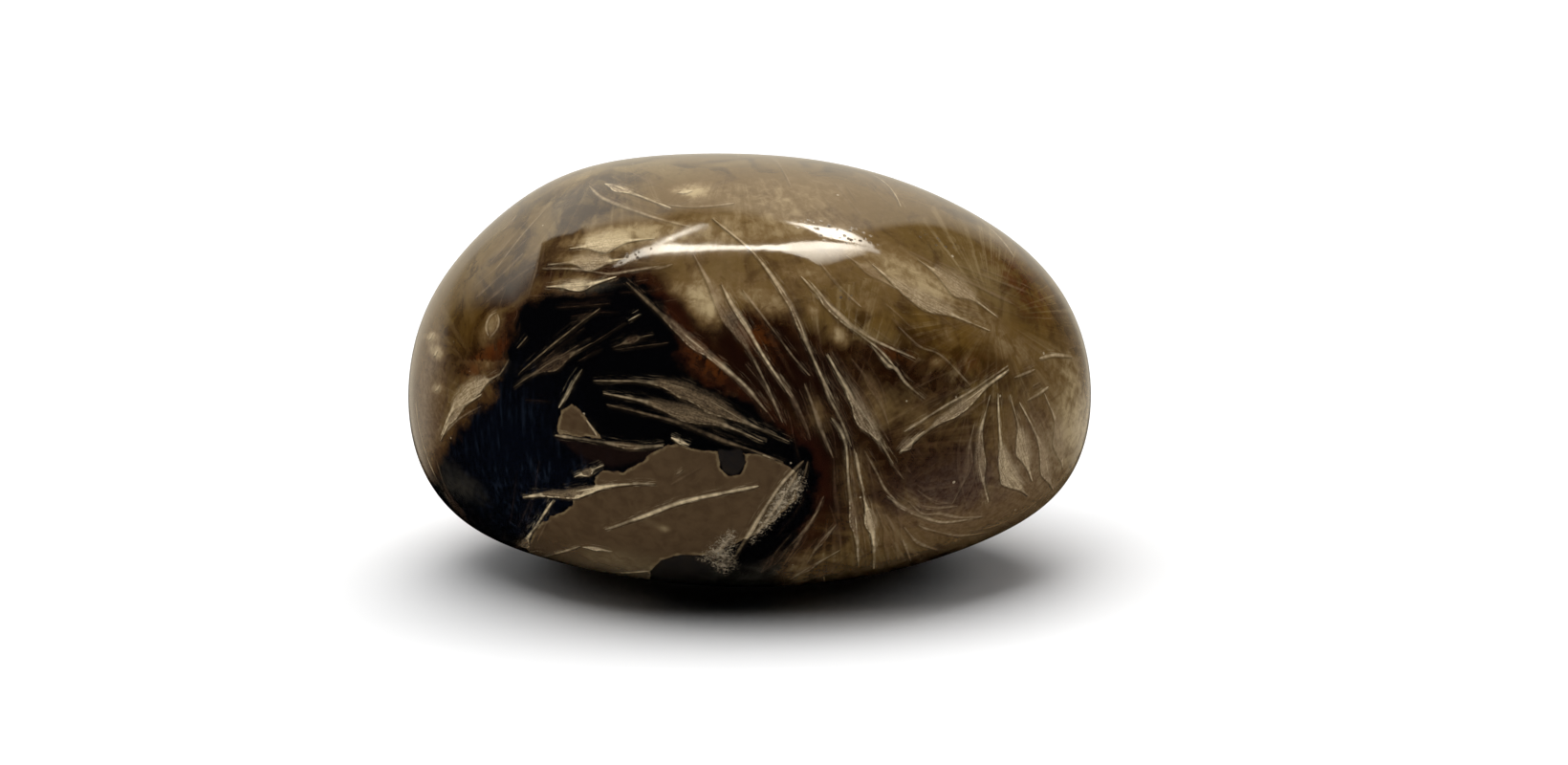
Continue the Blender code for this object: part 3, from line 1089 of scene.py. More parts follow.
def laid_blades(chance, shell):
    """Every blade of the stone, from the one that lies lowest to the topmost."""
    seen = [laid_from_photo(blade, shell) for blade in photo_blades(chance)]
    fans = list(BACK_FANS.values())
    hairs = [laid_hair(fans[number % len(fans)], chance, shell) for number in range(BACK_HAIR_COUNT)]
    fanned = [laid_in_fan(fan, chance, shell) for fan in fans for _ in range(fan.count)]
    return [laid for laid in hairs + seen + fanned if len(laid.course) > 2]


# Writing the pattern onto the mesh

# How much of a blade its swell takes up, and how long its tip is in mm.
SWELL_SPREAD = 0.17
TIP_LENGTH = 0.7
# How far apart the blades start in the noise that runs along them.
SEED_STEP = 0.37
# Where the masses of the photograph begin to end on the far side, and how fast they do.
FADE_START = 1.22
FADE_PER_SHARE = 30.0
# Where its clouds give way to the strewn ones, as shares of the way out: start and length.
SEEN_CLOUDS_END = (1.15, 0.2)
STREWN_CLOUDS_START = (0.9, 0.3)
STRONGEST_CLOUD = 1.4
# The share up to which streaks run round the photograph's roots, and round the fans beyond it.
STREAKS_SEEN = 1.12
FAN_REACH = 1.2
FAN_STREAKS = 0.6
FAN_GAP = 40
# In reaches of a root: where its streaks end, and how fast they begin beside it.
STREAKS_END = 1.6
STREAKS_BEGIN = (0.4, 3)
# The ranges of a strewn spot's width, as shares of its length.
STREWN_WIDTHS = (0.35, 0.8)


def blade_distances(points, normals, laid):
    """Along, across and half width, in mm, for each point near a blade's course."""
    starts, ends = laid.course[:-1], laid.course[1:]
    runs = ends - starts
    lengths = np.linalg.norm(runs, axis=1)
    reached = np.concatenate(((0,), np.cumsum(lengths)))
    headings = runs / lengths[:, None]
    offsets = points[:, None, :] - starts[None, :, :]
    along = (offsets * headings).sum(axis=2)
    clipped = np.clip(along, 0, lengths)
    gaps = np.linalg.norm(offsets - clipped[:, :, None] * headings, axis=2)
    nearest = gaps.argmin(axis=1)
    rows = np.arange(len(points))
    raw = along[rows, nearest]
    beyond_start = (nearest == 0) & (raw < 0)
    beyond_end = (nearest == len(runs) - 1) & (raw > lengths[-1])
    on_course = np.where(beyond_start | beyond_end, raw, clipped[rows, nearest])
    foot = starts[nearest] + headings[nearest] * on_course[:, None]
    offset = points - foot
    side = (np.cross(normals, headings[nearest]) * offset).sum(axis=1)
    across = np.linalg.norm(offset, axis=1) * np.where(side < 0, -1, 1)
    travelled = reached[nearest] + on_course
    whole = reached[-1]
    from_swell = (travelled / whole - laid.at) / SWELL_SPREAD
    width = laid.line + (laid.swell - laid.line) * np.exp(-from_swell ** 2)
    to_tip = np.minimum(travelled, whole - travelled)
    tip = TIP_LENGTH + laid.swell
    width = np.where(to_tip > 0, width * np.sqrt(np.clip(to_tip / tip, 0, 1)), to_tip)
    return travelled, across, width


def blade_on_squares(points, normals, corners, laid):
    """The squares that a blade passes, how it runs past their corners, and its gap to each."""
    reach = BLADE_REACH + laid.swell
    low, high = laid.course.min(axis=0) - reach, laid.course.max(axis=0) + reach
    near = np.flatnonzero(((points > low) & (points < high)).all(axis=1))
    travelled, across, width = blade_distances(points[near], normals[near], laid)
    gap = np.full(len(points), np.inf)
    gap[near] = np.abs(across) - width
    square_gap = gap[corners].min(axis=1)
    squares = np.flatnonzero((square_gap < BLADE_REACH) & np.isfinite(gap[corners]).all(axis=1))
    place = np.full(len(points), -1)
    place[near] = np.arange(len(near))
    rows = place[corners[squares]]
    run = np.stack((travelled[rows], across[rows], width[rows]), axis=2)
    return squares, run, square_gap[squares]


def rank_among_equals(keys):
    """How many equal keys come before each one, in keys that stand in order."""
    number = np.arange(len(keys))
    first = np.concatenate(((True,), keys[1:] != keys[:-1]))
    return number - np.maximum.accumulate(np.where(first, number, 0))


def spread_blades(mesh, blades):
    """Writes on each square's corners how the nearest blades run past it."""
    points, normals, corners = points_of(mesh) / MM, normals_of(mesh), corners_of(mesh)
    found = [blade_on_squares(points, normals, corners, laid) for laid in blades]
    square, run, gap = (np.concatenate(column) for column in zip(*found))
    blade = np.repeat(np.arange(len(blades)), [len(squares) for squares, _, _ in found])
    nearest_first = np.lexsort((gap, square))
    kept = nearest_first[rank_among_equals(square[nearest_first]) < LAYERS]
    kept = kept[np.lexsort((blade[kept], square[kept]))]
    level_of = rank_among_equals(square[kept])
    looks = np.array([(laid.tone, laid.soft, number * SEED_STEP) for number, laid in enumerate(blades)])
    for level in range(LAYERS):
        here = kept[level_of == level]
        path = np.tile(NO_BLADE, (len(corners), 4, 1))
        path[square[here]] = run[here]
        look = np.zeros((len(corners), 4, 3))
        look[square[here]] = looks[blade[here]][:, None, :]
        write_vectors(mesh, f"blade_{level + 1}_path", "CORNER", path)
        write_vectors(mesh, f"blade_{level + 1}_look", "CORNER", look)


def spread_streaks(mesh, shell):
    """Writes on each point where it lies round the nearest root: its bearing, and how far away in mm."""
    points, normals = points_of(mesh), normals_of(mesh)
    places, share = unfolded(points, normals)
    seen = share < STREAKS_SEEN
    sources = []
    for root in STREAK_ROOTS.values():
        flat = places - (root.x, root.y)
        away = np.linalg.norm(flat, axis=1)
        sources.append((flat, away, away / root.reach, seen, away / PIXELS_PER_MM, root.amount))
    for number, fan in enumerate(BACK_FANS.values()):
        middle, outward = shell.under(fan.compass, fan.above)
        east, north = tangent_axes(outward)
        offset = (points - middle) / MM
        flat = np.column_stack((offset @ east, offset @ north))
        away = np.linalg.norm(flat, axis=1)
        far = np.linalg.norm(offset, axis=1) / (fan.length * FAN_REACH)
        sources.append((flat, away, far, ~seen, away + FAN_GAP * (number + 1), FAN_STREAKS))
    nearest = np.full(len(points), np.inf)
    amount = np.ones(len(points))
    bearing = np.zeros((len(points), 3))
    for flat, away, far, allowed, along, strength in sources:
        closer = (far < nearest) & allowed
        nearest = np.where(closer, far, nearest)
        way = np.column_stack((flat / np.maximum(away, TINY)[:, None], along))
        bearing[closer] = way[closer]
        amount[closer] = strength
    write_vectors(mesh, "bearing", "POINT", bearing)
    gap, rise = STREAKS_BEGIN
    streaked = amount * np.clip(STREAKS_END - nearest, 0, 1) * np.clip(nearest * rise - gap, 0, 1)
    write_points(mesh, "streaked", streaked)


def strewn_spots(chance, strewn):
    """The spots of one kind of made-up cloud, anywhere on the stone."""
    spots = []
    for _ in range(strewn.count):
        half_long = chance.uniform(*strewn.sizes)
        spots.append(Spot(
            chance.uniform(-180, 180),
            math.degrees(math.asin(chance.uniform(-1, 1))),
            half_long,
            half_long * chance.uniform(*STREWN_WIDTHS),
            chance.uniform(0, 180),
            chance.uniform(*strewn.amounts),
        ))
    return spots


def ramp(share, start, length):
    """Rises evenly from 0 at a start to 1 a length further."""
    return np.clip((share - start) / length, 0, 1)


def spread_clouds(mesh, shell, chance):
    """Writes on each point how deep it lies in the masses, and how strong the clouds are."""
    points, normals = points_of(mesh), normals_of(mesh)
    places, share = unfolded(points, normals)
    fade = np.maximum(share - FADE_START, 0) * FADE_PER_SHARE
    for name, (outlines, spots) in MASSES.items():
        depth = np.full(len(points), -FAR_OFF)
        for outline in outlines:
            depth = np.maximum(depth, inside_distance(places, outline) - fade)
        for spot in spots.values():
            away, size = spot_offsets(points, normals, spot, shell)
            depth = np.maximum(depth, (1 - away) * size)
        write_points(mesh, name, depth)
    on_front, unseen = 1 - ramp(share, *SEEN_CLOUDS_END), ramp(share, *STREWN_CLOUDS_START)
    for name, (seen, strewn) in CLOUDS.items():
        strength = np.zeros(len(points))
        for cloud in seen.values():
            strength += cloud_strength(places, cloud) * on_front
        for spot in strewn_spots(chance, strewn):
            away, _ = spot_offsets(points, normals, spot, shell)
            strength += spot.amount * np.exp(-away ** 2) * unseen
        write_points(mesh, name, np.minimum(strength, STRONGEST_CLOUD))


# Materials

# The finish's fixed colours. Nodes.feed takes them by name.
SHADES = {
    "pale ground": srgb(102, 84, 52),
    "billowed ground": srgb(64, 45, 22),
    "mottled ground": srgb(60, 44, 24),
    "pale grain": srgb(114, 92, 63),
    "dark grain": srgb(50, 36, 20),
    "pale umber": srgb(50, 33, 16),
    "deepest umber": srgb(22, 8, 4),
    "olive": srgb(92, 67, 24),
    "deep olive": srgb(66, 46, 14),
    "dark streak": srgb(34, 20, 6),
    "streak in umber": srgb(84, 60, 40),
    "edge of haze": srgb(98, 76, 46),
    "deep dusk": srgb(66, 48, 40),
    "pale dusk": srgb(104, 86, 72),
    "edge of black": srgb(38, 15, 7),
    "blue-black": srgb(4, 6, 12),
    "blue veil": srgb(22, 28, 38),
    "haze in black": srgb(48, 45, 38),
    "seam": srgb(26, 16, 12),
    "deep patch": srgb(64, 49, 33),
    "patch rim": srgb(118, 102, 74),
    "speck": srgb(168, 154, 128),
    "brown hollow": srgb(34, 28, 22),
    "grey hollow": srgb(22, 21, 22),
    "deep grit": srgb(46, 36, 26),
    "pale grit": srgb(164, 150, 126),
    "blade in black": srgb(96, 78, 56),
    "dull blade": srgb(106, 84, 65),
    "dull blade in black": srgb(62, 42, 28),
    "pit": srgb(20, 14, 10),
}
BLADE_SHADE = (0.012, 0.008, 0.004)
# The colours are laid on brighter, as painted light that makes up for the dim light on the stone's front.
PAINTED_LIGHT_GAIN = 1.3
CHERT_IOR = 1.54
BUMP_HEIGHT = 0.006 * MM
# The blue-black's veils are this much finer across than they are tall.
VEIL_SCALE = (2.6, 2.6, 0.35)
# Half widths in mm between which a thin line turns into a body with a rim and a spine.
LINE_TO_BODY = (0.11, 0.22)


class Nodes:
    """Places nodes in one tree. A method that makes a value or a colour returns its socket."""

    def __init__(self, tree):
        self.tree = tree

    def place(self, kind, sockets=(), **settings):
        node = self.tree.nodes.new(kind)
        for name, value in settings.items():
            setattr(node, name, value)
        for socket, value in dict(sockets).items():
            self.feed(node.inputs[socket], value)
        return node

    def feed(self, socket, value):
        if isinstance(value, bpy.types.NodeSocket):
            self.tree.links.new(value, socket)
        elif isinstance(value, str):
            socket.default_value = (*SHADES[value], 1.0)
        elif socket.type == "RGBA" and len(value) == 3:
            socket.default_value = (*value, 1.0)
        else:
            socket.default_value = value

    def math(self, operation, first, second=0.0, third=0.0):
        sockets = {0: first, 1: second, 2: third}
        return self.place("ShaderNodeMath", sockets, operation=operation).outputs[0]

    def times(self, value, *factors):
        for factor in factors:
            value = self.math("MULTIPLY", value, factor)
        return value

    def plus(self, value, *others):
        for other in others:
            value = self.math("ADD", value, other)
        return value

    def minus(self, value, taken):
        return self.math("SUBTRACT", value, taken)

    def times_plus(self, value, factor, added):
        return self.math("MULTIPLY_ADD", value, factor, added)

    def smooth(self, value, low, high, to_low=0.0, to_high=1.0):
        """Rises softly from to_low at low to to_high at high."""
        sockets = {0: value, 1: low, 2: high, 3: to_low, 4: to_high}
        return self.place("ShaderNodeMapRange", sockets, interpolation_type="SMOOTHSTEP").outputs[0]

    def mix(self, under, over, share):
        return self.place("ShaderNodeMix", {0: share, 6: under, 7: over}, data_type="RGBA").outputs[2]

    def mix_value(self, first, second, share):
        """first at share 0, second at share 1."""
        return self.place("ShaderNodeMix", {0: share, 2: first, 3: second}, data_type="FLOAT").outputs[0]

    def coats(self, colour, *coats):
        """A colour under further ones, each given with the share of it that shows."""
        for over, share in coats:
            colour = self.mix(colour, over, share)
        return colour

    def scaled(self, vector, gain):
        return self.place("ShaderNodeVectorMath", {0: vector, "Scale": gain}, operation="SCALE").outputs[0]

    def axes(self, vector):
        return self.place("ShaderNodeSeparateXYZ", {0: vector}).outputs

    def joined(self, x, y, z):
        return self.place("ShaderNodeCombineXYZ", {"X": x, "Y": y, "Z": z}).outputs[0]

    def noise(self, place, scale, detail=2.0, roughness=0.5, distortion=0.0):
        sockets = {
            "Vector": place, "Scale": scale, "Detail": detail,
            "Roughness": roughness, "Distortion": distortion,
        }
        return self.place("ShaderNodeTexNoise", sockets).outputs["Fac"]

    def cells(self, place, scale):
        sockets = {"Vector": place, "Scale": scale, "Randomness": 1.0}
        return self.place("ShaderNodeTexVoronoi", sockets).outputs

    def value_of(self, name):
        return self.place("ShaderNodeAttribute", attribute_name=name).outputs["Fac"]

    def vector_of(self, name):
        return self.place("ShaderNodeAttribute", attribute_name=name).outputs["Vector"]


def new_group(name, inputs, outputs):
    """A shader node group with named sockets, and its own input and output nodes."""
    group = bpy.data.node_groups.new(name, "ShaderNodeTree")
    for socket, kind, default in inputs:
        made = group.interface.new_socket(socket, in_out="INPUT", socket_type=kind)
        made.default_value = default
    for socket, kind in outputs:
        group.interface.new_socket(socket, in_out="OUTPUT", socket_type=kind)
    nodes = Nodes(group)
    return group, nodes, nodes.place("NodeGroupInput").outputs, nodes.place("NodeGroupOutput").inputs


def blade_layer():
    """One pale blade over what lies under it: streaked along its length, with feathers beside it."""
    group, nodes, given, made = new_group(
        "blade layer",
        (
            ("Under", "NodeSocketColor", (0.1, 0.08, 0.05, 1.0)),
            ("Bright", "NodeSocketColor", (0.6, 0.5, 0.35, 1.0)),
            ("Dull", "NodeSocketColor", (0.2, 0.15, 0.1, 1.0)),
            ("White", "NodeSocketColor", (0.7, 0.6, 0.5, 1.0)),
            ("Path", "NodeSocketVector", NO_BLADE),
            ("Look", "NodeSocketVector", (0.0, 0.0, 0.0)),
            ("Wobble", "NodeSocketFloat", 0.0),
            ("Grain", "NodeSocketFloat", 0.5),
        ),
        (("Color", "NodeSocketColor"),),
    )
    smooth, compute, times = nodes.smooth, nodes.math, nodes.times
    path, look = nodes.axes(given["Path"]), nodes.axes(given["Look"])
    along, aside, half_width = path["X"], path["Y"], path["Z"]
    tone, soft, seed = look["X"], look["Y"], look["Z"]
    slow, quick = (
        nodes.place(
            "ShaderNodeTexNoise",
            {"W": nodes.times_plus(along, pace, times(seed, 7.0)), "Scale": 1.0, "Detail": 1.0},
            noise_dimensions="1D",
        ).outputs["Fac"]
        for pace in (0.3, 1.9)
    )
    # The blade's own frame: across it, from the crisp side and from the feathered side.
    across = nodes.plus(aside, times(given["Wobble"], nodes.times_plus(half_width, 0.3, 0.05)))
    width = times(half_width, smooth(slow, 0.25, 0.75, 0.75, 1.2))
    low_side, high_side = nodes.plus(across, width), nodes.minus(width, across)
    streak_place = nodes.joined(
        times(along, 0.8), nodes.times_plus(across, 8.0, seed), times(seed, 3.1),
    )
    streak = nodes.noise(streak_place, 1.0, 4.0, 0.7)
    is_body = smooth(width, *LINE_TO_BODY)
    # A thin line that comes and goes.
    line = times(
        smooth(compute("ABSOLUTE", across), 0.0, nodes.times_plus(width, 1.5, 0.01), 1.0, 0.0),
        smooth(width, 0.0, 0.02),
        smooth(slow, 0.3, 0.65, 0.3, 1.0),
        smooth(quick, 0.3, 0.7, 0.55, 1.1),
    )
    # A streaked body with a paler rim and spine, which are weaker the softer the blade is.
    blur, crisp = nodes.plus(soft, 0.03), nodes.times_plus(soft, 0.3, 0.03)
    body = times(
        smooth(low_side, times(crisp, -1.0), crisp),
        smooth(high_side, times(blur, -2.0), width),
        smooth(streak, 0.3, 0.68, 0.2, 0.95),
        smooth(given["Grain"], 0.35, 0.65, 0.6, 1.1),
    )
    rim = times(
        smooth(compute("ABSOLUTE", nodes.minus(low_side, 0.05)), 0.0, 0.09, 0.9, 0.0),
        smooth(quick, 0.35, 0.65, 0.1, 1.0),
    )
    off_spine = compute("ABSOLUTE", nodes.minus(across, times(width, 0.2)))
    spine = times(smooth(off_spine, 0.0, 0.08, 0.8, 0.0), smooth(slow, 0.45, 0.6))
    veiled = smooth(soft, 0.06, 0.22)
    ridge = times(compute("MAXIMUM", rim, spine), nodes.times_plus(veiled, -0.5, 1.0))
    # Feathers beside it on the soft side, and a thin shade along the crisp side.
    feather = times(
        smooth(high_side, -0.6, 0.0, 0.0, 0.3),
        smooth(streak, 0.5, 0.7),
        smooth(low_side, -0.3, 0.0),
        smooth(half_width, -0.1, 0.05),
    )
    outside = times(low_side, -1.0)
    shade = times(
        smooth(outside, -0.02, 0.04),
        smooth(outside, 0.06, 0.24, 1.0, 0.0),
        times(tone, 0.5),
        smooth(half_width, -0.02, 0.04),
    )
    cover = nodes.mix_value(line, compute("MAXIMUM", body, ridge), is_body)
    cover = compute("MINIMUM", times(compute("MAXIMUM", cover, feather), tone), 1.0)
    lit = nodes.mix_value(1.0, ridge, is_body)
    lit = times(tone, smooth(lit, 0.0, 0.8, nodes.times_plus(veiled, 0.17, 0.55), 1.0))
    colour = nodes.coats(
        given["Dull"], (given["Bright"], smooth(lit, 0.2, 0.95)), (given["White"], smooth(lit, 0.95, 1.5)),
    )
    nodes.feed(made["Color"], nodes.coats(given["Under"], (BLADE_SHADE, shade), (colour, cover)))
    return group


class Noises(NamedTuple):
    """The place on the stone in mm, and the noises over it that the colours share."""

    place: bpy.types.NodeSocket
    broad: bpy.types.NodeSocket
    billow: bpy.types.NodeSocket
    mottle: bpy.types.NodeSocket
    fine: bpy.types.NodeSocket
    grain: bpy.types.NodeSocket
    wobble: bpy.types.NodeSocket


def stone_noises(nodes):
    place = nodes.scaled(nodes.place("ShaderNodeTexCoord").outputs["Object"], 1 / MM)
    return Noises(
        place,
        broad=nodes.noise(place, 0.13, 3.0, 0.55, 0.6),
        billow=nodes.noise(place, 0.34, 4.0, 0.6, 0.9),
        mottle=nodes.noise(place, 1.1, 4.0, 0.62, 0.5),
        fine=nodes.noise(place, 2.6, 3.0, 0.7, 0.4),
        grain=nodes.noise(place, 6.5, 2.0, 0.6),
        wobble=nodes.minus(nodes.noise(place, 0.9, 3.0, 0.6), 0.5),
    )


def clear_ground(nodes, noises, settings):
    """The clear brown, with paler and darker drifts from broad to fine."""
    return nodes.coats(
        settings.ground,
        ("pale ground", nodes.smooth(noises.broad, 0.45, 0.65, 0.0, 0.8)),
        ("billowed ground", nodes.smooth(noises.billow, 0.5, 0.68, 0.0, 0.8)),
        ("mottled ground", nodes.smooth(noises.mottle, 0.48, 0.7, 0.0, 0.35)),
        ("pale grain", nodes.smooth(noises.fine, 0.5, 0.75, 0.0, 0.3)),
        ("dark grain", nodes.smooth(noises.fine, 0.25, 0.45, 0.2, 0.0)),
    )


def root_streaks(nodes, wobble):
    """The fine streaks that run out from the roots."""
    bearing = nodes.axes(nodes.vector_of("bearing"))
    place = nodes.joined(
        nodes.times(bearing["X"], 17.0),
        nodes.times(bearing["Y"], 17.0),
        nodes.times_plus(bearing["Z"], 0.11, nodes.times(wobble, 1.2)),
    )
    return nodes.noise(place, 1.0, 3.0, 0.6)


def clouded_ground(nodes, noises, settings):
    """The ground with its streaks and clouds of five kinds, and the milky clouds with their painted light,
    for what lies over it.
    """
    smooth, times, mottle, fine = nodes.smooth, nodes.times, noises.mottle, noises.fine
    streaks, streaked = root_streaks(nodes, noises.wobble), nodes.value_of("streaked")
    umber = nodes.plus(nodes.value_of("umber"), smooth(noises.billow, 0.3, 0.7, -0.3, 0.3))
    umber_colour = nodes.coats(
        settings.umber,
        ("pale umber", smooth(mottle, 0.4, 0.7)),
        ("deepest umber", smooth(umber, 0.9, 1.4)),
    )
    olive_colour = nodes.mix("olive", "deep olive", smooth(noises.billow, 0.35, 0.65))
    amber = times(nodes.value_of("amber"), smooth(mottle, 0.3, 0.65))
    dark_streaks = times(smooth(streaks, 0.3, 0.48, 0.3, 0.0), streaked)
    pale_streaks = times(
        smooth(streaks, 0.5, 0.72, 0.0, 0.42), streaked, smooth(umber, 0.5, 1.3, 1.0, 0.35),
    )
    streak_colour = nodes.mix(settings.haze_and_painted_light, "streak in umber", smooth(umber, 0.1, 0.8))
    haze_and_painted_light = times(
        nodes.value_of("haze_and_painted_light"),
        smooth(mottle, 0.3, 0.7, 0.65, 1.15),
        smooth(streaks, 0.3, 0.65, 0.85, 1.1),
        smooth(fine, 0.3, 0.7, 0.93, 1.05),
    )
    dusk_colour = nodes.mix("deep dusk", "pale dusk", smooth(fine, 0.3, 0.7))
    ground = nodes.coats(
        clear_ground(nodes, noises, settings),
        (umber_colour, smooth(umber, 0.05, 0.75)),
        (olive_colour, smooth(nodes.value_of("olive"), 0.1, 1.0, 0.0, 0.75)),
        (settings.amber, smooth(amber, 0.05, 0.9)),
        ("dark streak", dark_streaks),
        (streak_colour, pale_streaks),
        # the milky clouds' colour also lays the painted sheen near the highlight, the painted reflection on
        # the left rim and the painted light along the bottom
        ("edge of haze", smooth(haze_and_painted_light, 0.05, 0.55, 0.0, 0.85)),
        (settings.haze_and_painted_light, smooth(haze_and_painted_light, 0.3, 1.1)),
        (dusk_colour, smooth(nodes.value_of("dusk"), 0.1, 1.0, 0.0, 0.4)),
    )
    return ground, haze_and_painted_light


def mass_depth(nodes, noises, name, waver):
    """How deep a point lies in a mass, in mm, with an edge that wavers."""
    return nodes.plus(nodes.value_of(name), nodes.times(noises.wobble, waver))


def with_black(nodes, noises, settings, ground, haze_and_painted_light):
    """The ground under the black masses, and how black each point is."""
    smooth = nodes.smooth
    black = nodes.plus(mass_depth(nodes, noises, "black", 2.2), smooth(noises.grain, 0.2, 0.8, -0.12, 0.12))
    blackness = smooth(black, -0.5, 0.45)
    blue = nodes.value_of("blue")
    upright = nodes.place("ShaderNodeMapping", {"Vector": noises.place, "Scale": VEIL_SCALE}).outputs[0]
    night = nodes.coats(
        settings.black,
        ("blue-black", blue),
        ("blue veil", nodes.times(smooth(nodes.noise(upright, 1.0, 3.0, 0.65), 0.5, 0.72), blue, 0.85)),
        ("haze in black", smooth(haze_and_painted_light, 0.1, 0.9)),
    )
    edge = smooth(black, -1.5, -0.2, 0.0, 0.7)
    ground = nodes.coats(ground, ("edge of black", edge), (night, blackness))
    return ground, blackness


def with_patches(nodes, noises, settings, ground, haze_and_painted_light):
    """The ground with the red seam and the flat patches, and how far each point is clear of a patch."""
    smooth, mottle = nodes.smooth, noises.mottle
    seam = mass_depth(nodes, noises, "seam", 1.0)
    shelf = mass_depth(nodes, noises, "shelf", 0.7)
    on_shelf = smooth(shelf, -0.03, 0.05)
    rim = nodes.times(
        smooth(shelf, 0.0, 0.08), smooth(shelf, 0.1, 0.28, 1.0, 0.0), smooth(mottle, 0.35, 0.6, 0.1, 0.7),
    )
    shelf_colour = nodes.coats(
        settings.shelf,
        ("deep patch", smooth(mottle, 0.35, 0.7)),
        ("patch rim", rim),
        # the milky clouds' colour also lays painted light on the lower end of the patch
        (settings.haze_and_painted_light, smooth(haze_and_painted_light, 0.05, 1.2, 0.0, 0.6)),
    )
    seam = smooth(seam, -0.25, 0.35, 0.0, 0.7)
    ground = nodes.coats(ground, ("seam", seam), (shelf_colour, on_shelf))
    return ground, nodes.minus(1.0, on_shelf)


def with_small_marks(nodes, noises, ground, off_shelf):
    """The ground with its pale specks, the dark hollows in the patch and the gritty wedges."""
    smooth, mottle = nodes.smooth, noises.mottle
    specks = nodes.cells(noises.place, 0.62)
    picked = nodes.place("ShaderNodeSeparateColor", {0: specks["Color"]}).outputs[0]
    size = smooth(picked, 0.6, 1.0, 0.0, 0.085)
    speck = smooth(nodes.minus(specks["Distance"], size), -0.03, 0.0, 0.7, 0.0)
    hollow = mass_depth(nodes, noises, "hollow", 0.5)
    hollow_colour = nodes.mix("brown hollow", "grey hollow", smooth(mottle, 0.3, 0.7))
    grit = nodes.plus(nodes.value_of("grit"), smooth(noises.grain, 0.3, 0.7, -0.35, 0.35))
    crumbled = smooth(nodes.noise(noises.place, 2.4, 4.0, 0.72, 0.8), 0.36, 0.66)
    return nodes.coats(
        ground,
        ("speck", nodes.times(speck, off_shelf)),
        (hollow_colour, smooth(hollow, -0.05, 0.1)),
        (nodes.mix("deep grit", "pale grit", crumbled), smooth(grit, -0.25, 0.35, 0.0, 0.9)),
    )


def with_blades(nodes, noises, settings, ground, in_black):
    """The ground under all the layers of blades, which are darker where they lie in the black."""
    dimmed = nodes.times(in_black, 0.85)
    bright = nodes.mix(settings.blade, "blade in black", dimmed)
    dull = nodes.mix("dull blade", "dull blade in black", dimmed)
    layer = blade_layer()
    for level in range(LAYERS):
        blade = nodes.place("ShaderNodeGroup", node_tree=layer)
        sockets = {
            "Under": ground,
            "Bright": bright,
            "Dull": dull,
            "White": settings.blade,
            "Path": nodes.vector_of(f"blade_{level + 1}_path"),
            "Look": nodes.vector_of(f"blade_{level + 1}_look"),
            "Wobble": noises.wobble,
            "Grain": noises.grain,
        }
        for socket, value in sockets.items():
            nodes.feed(blade.inputs[socket], value)
        ground = blade.outputs["Color"]
    return ground


def polished_chert(settings):
    """The stone's finish: brown ground, clouds, black masses, flat patches, pale blades and pits."""
    material = bpy.data.materials.new("polished_chert")
    material.use_nodes = True
    nodes = Nodes(material.node_tree)
    shader = material.node_tree.nodes["Principled BSDF"]
    noises = stone_noises(nodes)
    ground, haze_and_painted_light = clouded_ground(nodes, noises, settings)
    ground, blackness = with_black(nodes, noises, settings, ground, haze_and_painted_light)
    ground, off_shelf = with_patches(nodes, noises, settings, ground, haze_and_painted_light)
    ground = with_small_marks(nodes, noises, ground, off_shelf)
    ground = with_blades(nodes, noises, settings, ground, nodes.times(blackness, off_shelf))
    crumbs = nodes.cells(noises.place, 2.3)
    pits = nodes.times(
        nodes.smooth(crumbs["Distance"], 0.2, 0.36, 1.0, 0.0),
        nodes.smooth(noises.grain, 0.38, 0.5),
        nodes.smooth(nodes.value_of("pitted"), 0.25, 0.8),
    )
    # painted shade: the pits are darkened in colour as well as dented and roughened
    ground = nodes.mix(ground, "pit", nodes.times(pits, 0.75))
    # the gain is painted light: it brightens every colour to make up for the dim front lighting
    nodes.feed(shader.inputs["Base Color"], nodes.scaled(ground, PAINTED_LIGHT_GAIN))
    smudge = nodes.smooth(nodes.noise(noises.place, 0.5, 3.0, 0.6, 0.8), 0.4, 0.75, 0.0, 0.025)
    scuffs = nodes.times_plus(pits, 0.5, nodes.plus(smudge, settings.roughness))
    nodes.feed(shader.inputs["Roughness"], scuffs)
    height = nodes.times_plus(pits, -0.6, nodes.noise(noises.place, 0.45, 2.0, 0.5))
    bump = nodes.place("ShaderNodeBump", {"Distance": BUMP_HEIGHT, "Height": height})
    nodes.feed(shader.inputs["Normal"], bump.outputs[0])
    shader.inputs["IOR"].default_value = CHERT_IOR
    return material


# The stage

# A little over white, so that the backdrop comes out pure white.
SKY_WHITE = 1.05
CARD_COLOUR = (1.0, 0.91, 0.74)
FLOOR_WHITE = (0.88, 0.88, 0.88, 1.0)
FLOOR_ROUGHNESS = 0.9
LAMP_LENGTH, LAMP_WIDTH = 1.8, 1.1
LAMP_PLACE = Vector((-0.06, 0.06, 1.2))
LAMP_TARGET = Vector((0.0, 0.0, 0.01))
CLIP_START = 0.01


def stood(name, data):
    """An object that stands in the scene."""
    item = bpy.data.objects.new(name, data)
    bpy.context.scene.collection.objects.link(item)
    return item


